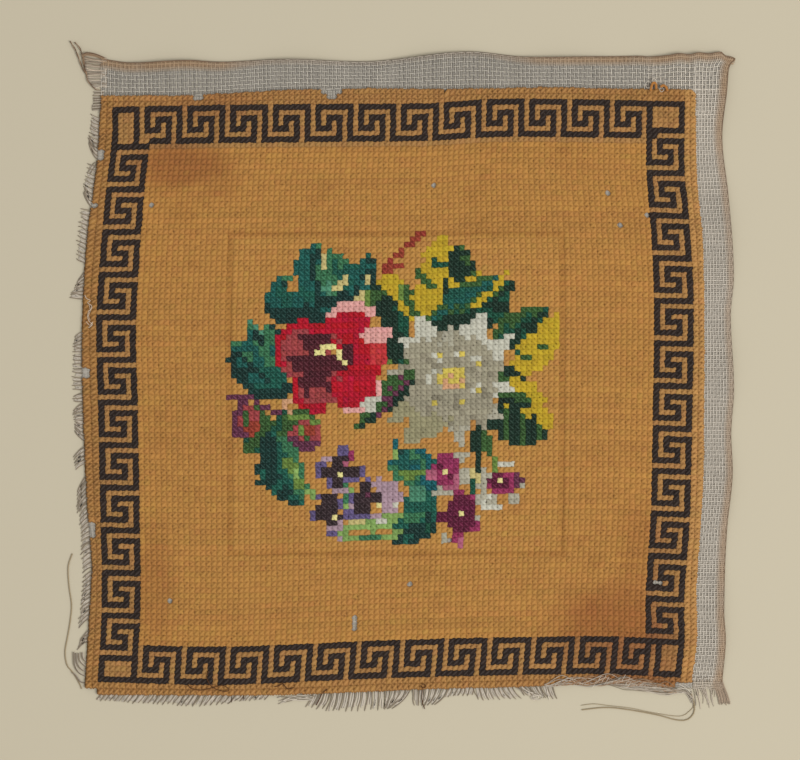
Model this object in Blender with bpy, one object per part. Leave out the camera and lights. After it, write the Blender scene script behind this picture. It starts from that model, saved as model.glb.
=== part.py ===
"""Square of canvas worked in wool cross stitch, lying flat: metres, +Z up, face up, top edge towards +Y."""

import math

import bmesh
import bpy
from mathutils import Vector

# Every size below is in millimetres. The tables place things on the sheet, from the middle of
# the worked square: +X to the right of the worked face and +Y to its top.
MM = 0.001

CANVAS_THICK = 1.0
WOOL_THICK = 1.25
GAP = 0.3  # clearance between two pieces that lie on each other
EDGE_GAP = 0.45  # clearance between the canvas edge and what is frayed from it
FRINGE_THICK = 0.8
THREAD_DIAMETER = 0.6
CANVAS_SHOWS = 0.8  # bare canvas past the wool, along the left and bottom edges

# Edge of the woolwork, (x, y) along the top and bottom and (y, x) along the sides
WOOL_TOP = ((-139.6, 140.5), (-99.6, 140.5), (-55.0, 142.9), (-10.0, 143.8), (20.0, 143.5),
            (84.0, 144.5), (96.0, 143.8), (142.8, 143.4))
WOOL_BOTTOM = ((-147.6, -144.5), (-77.0, -144.8), (-43.0, -144.3), (17.0, -141.8),
               (61.0, -140.7), (98.0, -139.2), (141.0, -138.2))
WOOL_LEFT = ((-144.5, -147.6), (-105.0, -145.2), (-82.0, -144.2), (-56.0, -146.2),
             (0.0, -148.6), (34.0, -148.6), (74.0, -146.2), (106.0, -142.0), (140.5, -139.6))
WOOL_RIGHT = ((-138.2, 141.0), (-119.0, 143.5), (-93.0, 143.4), (-46.0, 146.4), (0.0, 147.0),
              (43.0, 147.0), (74.0, 146.2), (94.0, 144.2), (111.0, 143.3), (143.4, 142.8))

# Edge of the bare canvas past the top and the right of the woolwork
CANVAS_TOP = ((-140.2, 158.4), (-126.0, 156.4), (-99.0, 157.5), (-83.0, 156.8), (-53.0, 157.9),
              (-10.0, 157.1), (35.0, 161.6), (62.0, 159.1), (98.0, 159.3), (150.0, 161.3),
              (157.0, 160.6), (162.0, 158.0))
CANVAS_RIGHT = ((-138.9, 155.8), (-119.5, 157.4), (-105.0, 156.6), (-66.0, 158.1),
                (-40.0, 160.6), (-20.0, 160.1), (0.0, 161.3), (35.0, 159.8), (55.0, 161.3),
                (94.0, 158.6), (121.0, 155.8), (148.0, 158.7), (155.0, 159.8), (158.0, 162.0))

# Where stitches have come away at the edge, (middle x, middle y, width, height)
WOOL_NOTCHES = ((-93.0, 139.8, 6.0, 4.0), (-29.8, 141.8, 7.2, 5.2), (105.4, 143.0, 7.6, 3.4),
                (-142.6, 113.0, 4.4, 5.4), (-148.0, 7.6, 4.0, 2.8), (-144.8, -75.4, 3.0, 9.2))
CORNER_STEP = (-142.3, -141.9)  # the wool stops left of this x at this y, above the bottom edge
STEP_BOX = 20.0

# Pressed crease left by a smaller square frame: x of its sides, y of its ends
CREASE_X = (-78.6, 79.6)
CREASE_Y = (-77.2, 74.8)
CREASE_DEEP = 0.35
CREASE_HALF = 2.0

# The bare margins lift a little off the surface in slow waves
LIFT_HIGH = 2.0
LIFT_START = 3.0  # distance past the wool at which the lift begins
LIFT_REACH = 13.0  # distance from there to the full lift
LIFT_WAVE = 62.0

GRID_CANVAS = 20  # cells each way before the margin lines are added
GRID_WOOL = 12

FRINGE_SPINE = 1.2
FRINGE_PITCH = 6.6
# Fringe lengths and slants, (along the edge, tooth length, lean along the edge)
LEFT_TEETH = ((-128.0, 6.2, -4.0), (-90.0, 5.6, -3.4), (-40.0, 5.0, -2.2), (-10.0, 5.4, -2.8),
              (28.0, 5.2, -3.2), (46.0, 6.6, -1.8), (90.0, 6.2, -4.6), (124.0, 6.4, -5.0))
LEFT_ENDS = (-131.0, 140.0)
LEFT_BARE = ((29.5, 44.5), (128.5, 133.0))  # stretches of the left edge with no fringe
BOTTOM_TEETH = ((-138.0, 4.8, -3.2), (-110.0, 5.6, -3.6), (-70.0, 6.0, -2.0), (-40.0, 5.0, 2.2),
                (-12.0, 9.6, 1.2), (20.0, 9.4, -2.0), (44.0, 8.2, 1.8), (70.0, 9.2, 3.6))
BOTTOM_ENDS = (-141.0, 71.0)
TOOTH_BASE = 3.8
TOOTH_TIP = 1.8
UNEVEN = 0.14  # share by which tooth lengths vary

# Frayed corners, a row for each lock: where it leaves the canvas, its tip and its tip's width
TOP_LEFT_LOCKS = ((156.4, -154.6, 166.6, 0.7), (153.5, -149.0, 160.0, 1.3),
                  (150.6, -147.2, 155.2, 1.3), (147.7, -145.6, 151.0, 1.2),
                  (144.9, -144.4, 146.8, 1.0))  # (y on the edge, tip x, tip y, tip width)
BOTTOM_RIGHT_LOCKS = ((144.6, 146.4, -148.6, 1.0), (147.6, 149.2, -149.6, 1.2),
                      (150.6, 152.8, -149.2, 1.2), (153.6, 158.6, -150.0, 2.0))
LOCK_BASE = 2.2

# Ravelled threads that lie along the bottom edge, (x, inner y, outer y)
BUNDLE = ((72.6, -141.6, -143.0), (84.0, -141.2, -143.6), (102.0, -140.5, -143.4),
          (120.0, -140.1, -144.4), (134.0, -139.9, -145.2), (140.2, -140.6, -144.8))
BUNDLE_THICK = 1.6

# Routes of the two long loose threads, from the cloth to the free end
THREAD_LEFT = ((-149.4, -142.0), (-150.6, -139.2), (-153.6, -134.2), (-156.4, -130.6),
               (-157.3, -124.2), (-156.0, -116.8), (-154.8, -109.4), (-154.2, -101.8),
               (-155.4, -93.0), (-155.8, -83.8), (-153.8, -77.6))
THREAD_BOTTOM = ((141.0, -144.2), (142.6, -149.6), (142.1, -153.9), (138.8, -156.8),
                 (133.4, -156.7), (125.2, -154.5), (111.5, -152.0), (100.5, -150.9),
                 (89.0, -152.0))
THREAD_POINTS = 34


def clear_scene():
    for obj in list(bpy.data.objects):
        bpy.data.objects.remove(obj, do_unlink=True)


def material(name, colour, roughness):
    made = bpy.data.materials.new(name)
    made.use_nodes = True
    shader = made.node_tree.nodes["Principled BSDF"]
    shader.inputs["Base Color"].default_value = (*colour, 1.0)
    shader.inputs["Roughness"].default_value = roughness
    shader.inputs["Metallic"].default_value = 0.0
    return made


def along(table, place):
    """Smooth value of a two-column table at a place, held past its ends."""
    rows = sorted(table)
    if place <= rows[0][0]:
        return rows[0][1]
    if place >= rows[-1][0]:
        return rows[-1][1]
    index = max(i for i in range(len(rows) - 1) if rows[i][0] <= place)
    (a, low), (b, high) = rows[index], rows[index + 1]
    before = rows[max(index - 1, 0)]
    after = rows[min(index + 2, len(rows) - 1)]
    slope_a = (high - before[1]) / (b - before[0])
    slope_b = (after[1] - low) / (after[0] - a)
    t = (place - a) / (b - a)
    width = b - a
    return (
        (2 * t**3 - 3 * t**2 + 1) * low
        + (t**3 - 2 * t**2 + t) * slope_a * width
        + (3 * t**2 - 2 * t**3) * high
        + (t**3 - t**2) * slope_b * width
    )


def shifted(table, by):
    return tuple((place, value + by) for place, value in table)


def patch(top, bottom, left, right):
    """Function from (u, v) in 0..1 to a point inside four edge curves."""
    corners = {
        (0, 0): Vector((bottom[0][0], left[0][0])),
        (1, 0): Vector((bottom[-1][0], right[0][0])),
        (0, 1): Vector((top[0][0], left[-1][0])),
        (1, 1): Vector((top[-1][0], right[-1][0])),
    }

    def edge_x(table, first, last, u):
        x = first.x + (last.x - first.x) * u
        return Vector((x, along(table, x)))

    def edge_y(table, first, last, v):
        y = first.y + (last.y - first.y) * v
        return Vector((along(table, y), y))

    def point(u, v):
        across = edge_x(bottom, corners[0, 0], corners[1, 0], u) * (1 - v)
        across += edge_x(top, corners[0, 1], corners[1, 1], u) * v
        down = edge_y(left, corners[0, 0], corners[0, 1], v) * (1 - u)
        down += edge_y(right, corners[1, 0], corners[1, 1], v) * u
        flat = corners[0, 0] * (1 - u) * (1 - v) + corners[1, 0] * u * (1 - v)
        flat += corners[0, 1] * (1 - u) * v + corners[1, 1] * u * v
        return across + down - flat

    return point


def lines(cells, extra):
    """Grid lines in 0..1: an even division with further lines added, near ones dropped."""
    even = [i / cells for i in range(cells + 1)]
    far = [e for e in even if e in (0.0, 1.0) or all(abs(e - x) > 0.4 / cells for x in extra)]
    return sorted(far + list(extra))


def object_of(name, mesh, finish):
    obj = bpy.data.objects.new(name, mesh)
    bpy.context.scene.collection.objects.link(obj)
    mesh.materials.append(finish)
    return obj


def sheet(name, point, us, vs, low, high, finish):
    """Closed sheet over a patch, between two heights given as functions of a point."""
    bm = bmesh.new()
    layers = []
    for height in (low, high):
        rows = []
        for v in vs:
            places = [point(u, v) for u in us]
            rows.append([bm.verts.new((p.x * MM, p.y * MM, height(p) * MM)) for p in places])
        layers.append(rows)
    under, over = layers
    for j in range(len(vs) - 1):
        for i in range(len(us) - 1):
            cell = ((j, i), (j, i + 1), (j + 1, i + 1), (j + 1, i))
            bm.faces.new([over[a][b] for a, b in cell])
            bm.faces.new([under[a][b] for a, b in reversed(cell)])
    last_row, last_column = len(vs) - 1, len(us) - 1
    rim = [(0, i) for i in range(last_column)] + [(j, last_column) for j in range(last_row)]
    rim += [(last_row, i) for i in range(last_column, 0, -1)] + [(j, 0) for j in range(last_row, 0, -1)]
    for (a, b), (c, d) in zip(rim, rim[1:] + rim[:1]):
        bm.faces.new((under[a][b], under[c][d], over[c][d], over[a][b]))
    bmesh.ops.recalc_face_normals(bm, faces=bm.faces)
    mesh = bpy.data.meshes.new(name)
    bm.to_mesh(mesh)
    bm.free()
    return object_of(name, mesh, finish)


def slab(name, outline, low, high, finish):
    """Closed flat piece of one outline between two heights."""
    bm = bmesh.new()
    face = bm.faces.new([bm.verts.new((x * MM, y * MM, low * MM)) for x, y in outline])
    raised = bmesh.ops.extrude_face_region(bm, geom=[face])
    tops = [item for item in raised["geom"] if isinstance(item, bmesh.types.BMVert)]
    bmesh.ops.translate(bm, verts=tops, vec=(0, 0, (high - low) * MM))
    bmesh.ops.recalc_face_normals(bm, faces=bm.faces)
    bmesh.ops.triangulate(bm, faces=bm.faces, ngon_method="BEAUTY")
    mesh = bpy.data.meshes.new(name)
    bm.to_mesh(mesh)
    bm.free()
    return object_of(name, mesh, finish)


def cut(obj, name, boxes):
    """Takes boxes, (middle x, middle y, width, height), out of an object."""
    bm = bmesh.new()
    for x, y, width, height in boxes:
        made = bmesh.ops.create_cube(bm, size=1.0)
        bmesh.ops.scale(bm, verts=made["verts"], vec=(width * MM, height * MM, 20 * MM))
        bmesh.ops.translate(bm, verts=made["verts"], vec=(x * MM, y * MM, 0))
    mesh = bpy.data.meshes.new(name)
    bm.to_mesh(mesh)
    bm.free()
    cutter = bpy.data.objects.new(name, mesh)
    bpy.context.scene.collection.objects.link(cutter)
    cutter.hide_render = True
    cutter.display_type = "WIRE"
    modifier = obj.modifiers.new(name, "BOOLEAN")
    modifier.operation = "DIFFERENCE"
    modifier.solver = "EXACT"
    modifier.object = cutter
    return cutter


def corner_box(past):
    """Box that steps the bottom left corner, a little lower for a piece that reaches past the wool."""
    x, y = CORNER_STEP
    return (x - STEP_BOX / 2, y - past - STEP_BOX / 2, STEP_BOX, STEP_BOX)


def lift(p):
    """How far the canvas stands off the surface at a point of the sheet."""
    past_right = p.x - along(WOOL_RIGHT, p.y)
    past_top = p.y - along(WOOL_TOP, p.x)
    reach = min(max(max(past_right, past_top) - LIFT_START, 0.0) / LIFT_REACH, 1.0)
    place = p.y if past_right > past_top else p.x
    wave = 0.55 + 0.45 * math.sin(2 * math.pi * place / LIFT_WAVE)
    return LIFT_HIGH * reach * reach * (3 - 2 * reach) * wave


def share(value, low, high):
    return (value - low) / (high - low)


def canvas(finish):
    bottom = shifted(WOOL_BOTTOM, -CANVAS_SHOWS)[:-1] + ((148.0, -138.9), (155.8, -138.9))
    left = shifted(WOOL_LEFT, -CANVAS_SHOWS)[1:-1]
    left = ((-145.3, -148.4), *left, (140.5, -140.4), (158.4, -140.2))
    bottom = ((-148.4, bottom[0][1]), *bottom[1:])
    point = patch(CANVAS_TOP, bottom, left, CANVAS_RIGHT)
    us = lines(GRID_CANVAS, (0.945, 0.965, 0.982))
    vs = lines(GRID_CANVAS, (0.945, 0.965, 0.982))
    return sheet(
        "canvas", point, us, vs, lift, lambda p: lift(p) + CANVAS_THICK, finish
    )


def crease(p):
    """Depth of the pressed square's line at a point."""
    inside_x = CREASE_X[0] - CREASE_HALF < p.x < CREASE_X[1] + CREASE_HALF
    inside_y = CREASE_Y[0] - CREASE_HALF < p.y < CREASE_Y[1] + CREASE_HALF
    nearest = CREASE_HALF
    if inside_y:
        nearest = min([nearest] + [abs(p.x - x) for x in CREASE_X])
    if inside_x:
        nearest = min([nearest] + [abs(p.y - y) for y in CREASE_Y])
    return CREASE_DEEP * (1 - nearest / CREASE_HALF)


def wool_field(finish):
    point = patch(WOOL_TOP, WOOL_BOTTOM, WOOL_LEFT, WOOL_RIGHT)
    ends = (-CREASE_HALF, 0.0, CREASE_HALF)
    us = lines(GRID_WOOL, [share(x + e, -147.0, 146.0) for x in CREASE_X for e in ends])
    vs = lines(GRID_WOOL, [share(y + e, -142.0, 143.0) for y in CREASE_Y for e in ends])
    low = CANVAS_THICK + GAP
    return sheet(
        "wool_field", point, us, vs, lambda p: low, lambda p: low + WOOL_THICK - crease(p), finish
    )


def teeth_places(ends, bare):
    count = int((ends[1] - ends[0] - TOOTH_BASE) / FRINGE_PITCH)
    places = [ends[0] + TOOTH_BASE / 2 + FRINGE_PITCH * i for i in range(count + 1)]
    half = TOOTH_BASE / 2
    return [p for p in places if not any(a < p + half and p - half < b for a, b in bare)]


def comb_outline(edge, ends, places, teeth, outward):
    """Outline of a fringe in its own axes: along the edge, and away from the canvas."""

    def away(s, distance):
        return (s, edge(s) + outward * (EDGE_GAP + distance))

    lengths = [(row[0], row[1]) for row in teeth]
    leans = [(row[0], row[2]) for row in teeth]
    outline = [away(ends[0], FRINGE_SPINE)]
    for s in places:
        long = along(lengths, s) * (1 - UNEVEN + UNEVEN * math.sin(2.1 * s))
        tip = s + along(leans, s)
        outline.append(away(s - TOOTH_BASE / 2, FRINGE_SPINE))
        outline.append((tip - TOOTH_TIP / 2, away(s, long)[1]))
        outline.append((tip + TOOTH_TIP / 2, away(s, long)[1]))
        outline.append(away(s + TOOTH_BASE / 2, FRINGE_SPINE))
    outline.append(away(ends[1], FRINGE_SPINE))
    return outline + [away(s, 0.0) for s in reversed(spine_places(ends))]


def spine_places(ends):
    count = max(2, round((ends[1] - ends[0]) / 14.0))
    return [ends[0] + (ends[1] - ends[0]) * i / count for i in range(count + 1)]


def fringe_left(finish):
    def edge(y):
        return along(WOOL_LEFT, y) - CANVAS_SHOWS

    places = teeth_places(LEFT_ENDS, LEFT_BARE)
    outline = comb_outline(edge, LEFT_ENDS, places, LEFT_TEETH, -1)
    return slab("fringe_left", [(x, y) for y, x in outline], 0.0, FRINGE_THICK, finish)


def fringe_bottom(finish):
    def edge(x):
        return along(WOOL_BOTTOM, x) - CANVAS_SHOWS

    places = teeth_places(BOTTOM_ENDS, ())
    outline = comb_outline(edge, BOTTOM_ENDS, places, BOTTOM_TEETH, -1)
    return slab("fringe_bottom", outline, 0.0, FRINGE_THICK, finish)


def frayed_top_left(finish):
    side = -140.2 - EDGE_GAP
    outline = [(side, 158.4), (side, 143.2), (side - FRINGE_SPINE, 143.2)]
    for y, tip_x, tip_y, width in reversed(TOP_LEFT_LOCKS):
        outline.append((side - FRINGE_SPINE, y - LOCK_BASE / 2))
        outline.append((tip_x, tip_y - width / 2))
        outline.append((tip_x, tip_y + width / 2))
        outline.append((side - FRINGE_SPINE, y + LOCK_BASE / 2))
    outline.append((side - FRINGE_SPINE, 158.4))
    return slab("frayed_top_left", outline, 0.0, FRINGE_THICK, finish)


def frayed_bottom_right(finish):
    side = -138.9 - EDGE_GAP
    outline = [(155.4, side), (143.4, side), (143.4, side - FRINGE_SPINE)]
    for x, tip_x, tip_y, width in BOTTOM_RIGHT_LOCKS:
        outline.append((x - LOCK_BASE / 2, side - FRINGE_SPINE))
        outline.append((tip_x - width / 2, tip_y))
        outline.append((tip_x + width / 2, tip_y))
        outline.append((x + LOCK_BASE / 2, side - FRINGE_SPINE))
    outline.append((155.4, side - FRINGE_SPINE))
    return slab("frayed_bottom_right", outline, 0.0, FRINGE_THICK, finish)


def ravelled_bundle(finish):
    outline = [(x, inner) for x, inner, outer in BUNDLE]
    outline += [(x, outer) for x, inner, outer in reversed(BUNDLE)]
    return slab("ravelled_bundle", outline, 0.0, BUNDLE_THICK, finish)


def smooth_route(points, count):
    """Evenly stepped points on a Catmull-Rom curve through a route's own points."""
    ends = [points[0]] + list(points) + [points[-1]]
    fine = []
    for i in range(len(points) - 1):
        a, b, c, d = (Vector(p) for p in ends[i : i + 4])
        for step in range(24):
            t = step / 24
            fine.append(
                0.5 * (2 * b + (c - a) * t + (2 * a - 5 * b + 4 * c - d) * t * t
                       + (3 * b - 3 * c + d - a) * t**3)
            )
    fine.append(Vector(points[-1]))
    reach = [0.0]
    for a, b in zip(fine, fine[1:]):
        reach.append(reach[-1] + (b - a).length)
    made = []
    for i in range(count):
        want = reach[-1] * i / (count - 1)
        k = min(max(j for j, r in enumerate(reach) if r <= want + 1e-9), len(fine) - 2)
        made.append(fine[k].lerp(fine[k + 1], (want - reach[k]) / (reach[k + 1] - reach[k])))
    return made


def loose_thread(name, route, finish):
    curve = bpy.data.curves.new(name, "CURVE")
    curve.dimensions = "3D"
    curve.bevel_depth = THREAD_DIAMETER / 2 * MM
    curve.bevel_resolution = 2
    curve.use_fill_caps = True
    points = smooth_route(route, THREAD_POINTS)
    spline = curve.splines.new("POLY")
    spline.points.add(len(points) - 1)
    for place, p in zip(spline.points, points):
        place.co = (p.x * MM, p.y * MM, (THREAD_DIAMETER / 2 + 0.02) * MM, 1.0)
    obj = bpy.data.objects.new(name, curve)
    bpy.context.scene.collection.objects.link(obj)
    curve.materials.append(finish)
    return obj


def recentre(pieces, measured):
    """Moves every piece so that the measured ones have their box's middle over the origin."""
    bpy.context.view_layer.update()
    corners = [obj.matrix_world @ Vector(c) for obj in measured for c in obj.bound_box]
    middle_x = (min(c.x for c in corners) + max(c.x for c in corners)) / 2
    middle_y = (min(c.y for c in corners) + max(c.y for c in corners)) / 2
    for obj in pieces:
        obj.location.x -= middle_x
        obj.location.y -= middle_y


def main():
    clear_scene()
    linen = material("linen_canvas", (0.42, 0.41, 0.38), 0.9)
    wool = material("gold_wool", (0.45, 0.22, 0.06), 0.92)
    frayed = material("frayed_linen", (0.33, 0.30, 0.26), 0.9)
    ground = canvas(linen)
    worked = wool_field(wool)
    cutters = [
        cut(worked, "wool_notches", WOOL_NOTCHES + (corner_box(0.0),)),
        cut(ground, "canvas_step", (corner_box(CANVAS_SHOWS),)),
    ]
    edges = [
        fringe_left(frayed),
        fringe_bottom(frayed),
        frayed_top_left(frayed),
        frayed_bottom_right(frayed),
        ravelled_bundle(frayed),
    ]
    threads = [
        loose_thread("loose_thread_left", THREAD_LEFT, frayed),
        loose_thread("loose_thread_bottom", THREAD_BOTTOM, frayed),
    ]
    solids = [ground, worked] + edges
    recentre(solids + threads + cutters, solids)


main()
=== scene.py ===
import math

import bpy
import numpy as np
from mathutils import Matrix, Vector


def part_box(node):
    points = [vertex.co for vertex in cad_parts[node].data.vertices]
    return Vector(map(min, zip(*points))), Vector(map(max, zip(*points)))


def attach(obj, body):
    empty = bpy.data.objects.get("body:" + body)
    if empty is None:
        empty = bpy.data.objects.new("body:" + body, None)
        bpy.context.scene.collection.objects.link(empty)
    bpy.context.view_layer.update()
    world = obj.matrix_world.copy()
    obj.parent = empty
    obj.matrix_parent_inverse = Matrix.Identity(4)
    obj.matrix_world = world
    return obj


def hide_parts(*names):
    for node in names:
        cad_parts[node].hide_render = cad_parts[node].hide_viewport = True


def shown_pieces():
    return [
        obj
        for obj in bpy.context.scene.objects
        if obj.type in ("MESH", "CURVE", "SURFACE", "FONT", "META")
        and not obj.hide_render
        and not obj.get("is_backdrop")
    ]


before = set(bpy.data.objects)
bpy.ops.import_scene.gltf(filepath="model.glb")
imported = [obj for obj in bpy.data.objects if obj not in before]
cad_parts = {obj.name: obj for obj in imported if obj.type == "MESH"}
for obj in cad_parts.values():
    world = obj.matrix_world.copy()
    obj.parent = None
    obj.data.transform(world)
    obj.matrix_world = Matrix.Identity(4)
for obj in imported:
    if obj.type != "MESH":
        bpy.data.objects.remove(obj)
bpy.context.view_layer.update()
mm = 0.001
rng = np.random.default_rng(1850)

bpy.context.scene.view_settings.view_transform = "Standard"

# The tables are in millimetres from the middle of the worked square. The frame's own origin is a
# little to the side of it; two pieces whose far edges are known in both say by how much.
canvasRightMost, frayTopMost = 162.0, 166.95
frameShift = np.array([
    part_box("canvas")[1][0] / mm - canvasRightMost,
    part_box("frayed_top_left")[1][1] / mm - frayTopMost,
])


# Linear colour of an 8 bit one.
def dye(red, green, blue):
    parts = [part / 255 for part in (red, green, blue)]
    return tuple(p / 12.92 if p <= 0.04045 else ((p + 0.055) / 1.055) ** 2.4 for p in parts)


# Smooth value of a two-column table at each place, held past its ends.
def along(table, places):
    rows = np.array(sorted(table), float)
    x, y = rows[:, 0], rows[:, 1]
    order = np.arange(len(x))
    before, after = np.maximum(order - 1, 0), np.minimum(order + 1, len(x) - 1)
    slope = (y[after] - y[before]) / (x[after] - x[before])
    at = np.clip(np.asarray(places, float), x[0], x[-1])
    i = np.clip(np.searchsorted(x, at, side="right") - 1, 0, len(x) - 2)
    width = x[i + 1] - x[i]
    t = (at - x[i]) / width
    return (
        (2 * t**3 - 3 * t**2 + 1) * y[i]
        + (t**3 - 2 * t**2 + t) * slope[i] * width
        + (3 * t**2 - 2 * t**3) * y[i + 1]
        + (t**3 - t**2) * slope[i + 1] * width
    )


cloth = {
    "woolTop": ((-139.6, 140.5), (-99.6, 140.5), (-55, 142.9), (-10, 143.8), (20, 143.5),
                (84, 144.5), (96, 143.8), (142.8, 143.4)),
    "woolBottom": ((-147.6, -144.5), (-77, -144.8), (-43, -144.3), (17, -141.8),
                   (61, -140.7), (98, -139.2), (112, -139.8), (124, -140.4), (133, -140.9),
                   (141, -141.2)),
    "woolLeft": ((-144.5, -147.6), (-105, -145.2), (-82, -144.2), (-56, -146.2), (0, -148.6),
                 (34, -148.6), (74, -146.2), (106, -142), (140.5, -139.6)),
    "woolRight": ((-138.2, 141), (-119, 143.5), (-93, 143.4), (-46, 146.4), (0, 147),
                  (43, 147), (74, 146.2), (94, 144.2), (111, 143.3), (143.4, 142.8)),
    "canvasTop": ((-140.2, 158.4), (-126, 156.4), (-99, 157.5), (-83, 156.8), (-53, 157.9),
                  (-10, 157.1), (35, 161.6), (62, 159.1), (98, 159.3), (116.8, 159.6),
                  (121, 159.2), (129.6, 159.8), (135.2, 160.7), (140.3, 160.2),
                  (144.2, 161.1), (149.3, 160.7), (155.3, 161.5), (156.6, 160.3),
                  (157.8, 159.5), (160, 159.2), (161.4, 158.7), (162.2, 158.2)),
    "canvasRight": ((-138.9, 155.8), (-119.5, 157.4), (-105, 156.6), (-66, 158.1),
                    (-40, 160.6), (-20, 160.1), (0, 161.3), (35, 159.8), (55, 161.3),
                    (94, 158.6), (121, 155.8), (143.3, 158), (153.2, 158.9), (155.8, 160),
                    (157.2, 161.6), (158.2, 162.2)),
    "liftHigh": 2.0,
    "liftStart": 3.0,
    "liftReach": 13.0,
    "liftWave": 62.0,
    "creaseX": (-78.6, 79.6),  # pressed in by a smaller square frame
    "creaseY": (-77.2, 74.8),
    "creaseDeep": 0.35,
}


# Height of the bare margins off the surface, in the table's millimetres.
def lift(x, y):
    pastRight = x - along(cloth["woolRight"], y)
    pastTop = y - along(cloth["woolTop"], x)
    reach = (np.maximum(pastRight, pastTop) - cloth["liftStart"]) / cloth["liftReach"]
    reach = np.clip(reach, 0, 1)
    place = np.where(pastRight > pastTop, y, x)
    wave = 0.55 + 0.45 * np.sin(2 * np.pi * place / cloth["liftWave"])
    return cloth["liftHigh"] * reach * reach * (3 - 2 * reach) * wave


# Depth of the pressed lines.
def crease(x, y):
    deep = np.zeros(np.shape(x))
    (left, right), (low, high) = cloth["creaseX"], cloth["creaseY"]
    insideX = (x > left - 2) & (x < right + 2)
    insideY = (y > low - 2) & (y < high + 2)
    for place, edge, inside in ((x, left, insideY), (x, right, insideY),
                                (y, low, insideX), (y, high, insideX)):
        deep = np.maximum(deep, inside * np.clip(1 - np.abs(place - edge) / 2, 0, 1))
    return deep * cloth["creaseDeep"]


view = {
    "middle": (-0.98, -1.76),
    "distance": 1200.0,
    "seenWidth": 381.3,
}
studio = {
    "keyPower": 52.0,
    "keySize": 1.6,
    "keyPlace": (1.55, -0.55, 2.3),
    "fillStrength": 0.60,
    "paper": dye(191, 182, 160),
}


def makeCamera():
    data = bpy.data.cameras.new("camera")
    data.sensor_width = 36.0
    data.lens = 36.0 * view["distance"] / view["seenWidth"]
    data.clip_start, data.clip_end = 0.05, 20.0
    camera = bpy.data.objects.new("camera", data)
    camera.location = (view["middle"][0] * mm, view["middle"][1] * mm, view["distance"] * mm)
    bpy.context.scene.collection.objects.link(camera)
    bpy.context.scene.camera = camera


def makeLight():
    data = bpy.data.lights.new("window light", "AREA")
    data.shape, data.size, data.energy = "DISK", studio["keySize"], studio["keyPower"]
    data.color = (1.0, 0.985, 0.96)
    lamp = bpy.data.objects.new("window light", data)
    lamp.location = studio["keyPlace"]
    lamp.rotation_euler = (-Vector(studio["keyPlace"])).to_track_quat("-Z", "Y").to_euler()
    bpy.context.scene.collection.objects.link(lamp)
    world = bpy.data.worlds.new("studio")
    world.use_nodes = True
    background = world.node_tree.nodes["Background"]
    background.inputs["Color"].default_value = (1.0, 0.99, 0.97, 1.0)
    background.inputs["Strength"].default_value = studio["fillStrength"]
    bpy.context.scene.world = world


def makeFloor():
    mesh = bpy.data.meshes.new("paper")
    mesh.from_pydata([(-3, -3, 0), (3, -3, 0), (3, 3, 0), (-3, 3, 0)], [], [(0, 1, 2, 3)])
    paper = bpy.data.objects.new("paper", mesh)
    finish = bpy.data.materials.new("paper")
    finish.use_nodes = True
    shader = finish.node_tree.nodes["Principled BSDF"]
    shader.inputs["Base Color"].default_value = (*studio["paper"], 1.0)
    shader.inputs["Roughness"].default_value = 0.9
    mesh.materials.append(finish)
    bpy.context.scene.collection.objects.link(paper)
    paper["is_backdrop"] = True


makeCamera()
makeLight()
makeFloor()
print("camera, light and floor made")


# A group of nodes whose inputs and outputs are colours if their first values are, else numbers.
def newGroup(name, inputs, outputs):
    group = bpy.data.node_groups.new(name, "ShaderNodeTree")
    for way, sockets in (("INPUT", inputs), ("OUTPUT", outputs)):
        for label, value in sockets.items():
            kind = "NodeSocketColor" if isinstance(value, tuple) else "NodeSocketFloat"
            socket = group.interface.new_socket(name=label, in_out=way, socket_type=kind)
            socket.default_value = value
    return group, group.nodes.new("NodeGroupInput"), group.nodes.new("NodeGroupOutput")


# Helpers that add a node to a tree, and a math or a mixing node with its inputs set or linked.
def joiner(tree):
    def put(socket, value):
        if isinstance(value, bpy.types.NodeSocket):
            tree.links.new(value, socket)
        else:
            socket.default_value = value

    def node(kind, **settings):
        made = tree.nodes.new(kind)
        for key, value in settings.items():
            setattr(made, key, value)
        return made

    def calc(operation, *values, clamp=False):
        made = node("ShaderNodeMath", operation=operation, use_clamp=clamp)
        for socket, value in zip(made.inputs, values):
            put(socket, value)
        return made.outputs[0]

    def mix(blend, amount, first, second):
        made = node("ShaderNodeMix", data_type="RGBA", blend_type=blend)
        put(made.inputs[0], amount)
        put(made.inputs[6], first)
        put(made.inputs[7], second)
        return made.outputs[2]

    def ramp(value, low, high, to=(0.0, 1.0)):
        made = node("ShaderNodeMapRange", interpolation_type="SMOOTHSTEP")
        for socket, given in zip(made.inputs, (value, low, high, *to)):
            put(socket, given)
        return made.outputs[0]

    return put, node, calc, mix, ramp


def noiseOf(node, where, scale, detail=2.0):
    made = node("ShaderNodeTexNoise")
    made.id_data.links.new(where, made.inputs["Vector"])
    made.inputs["Scale"].default_value = scale
    made.inputs["Detail"].default_value = detail
    return made.outputs[0]


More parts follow.
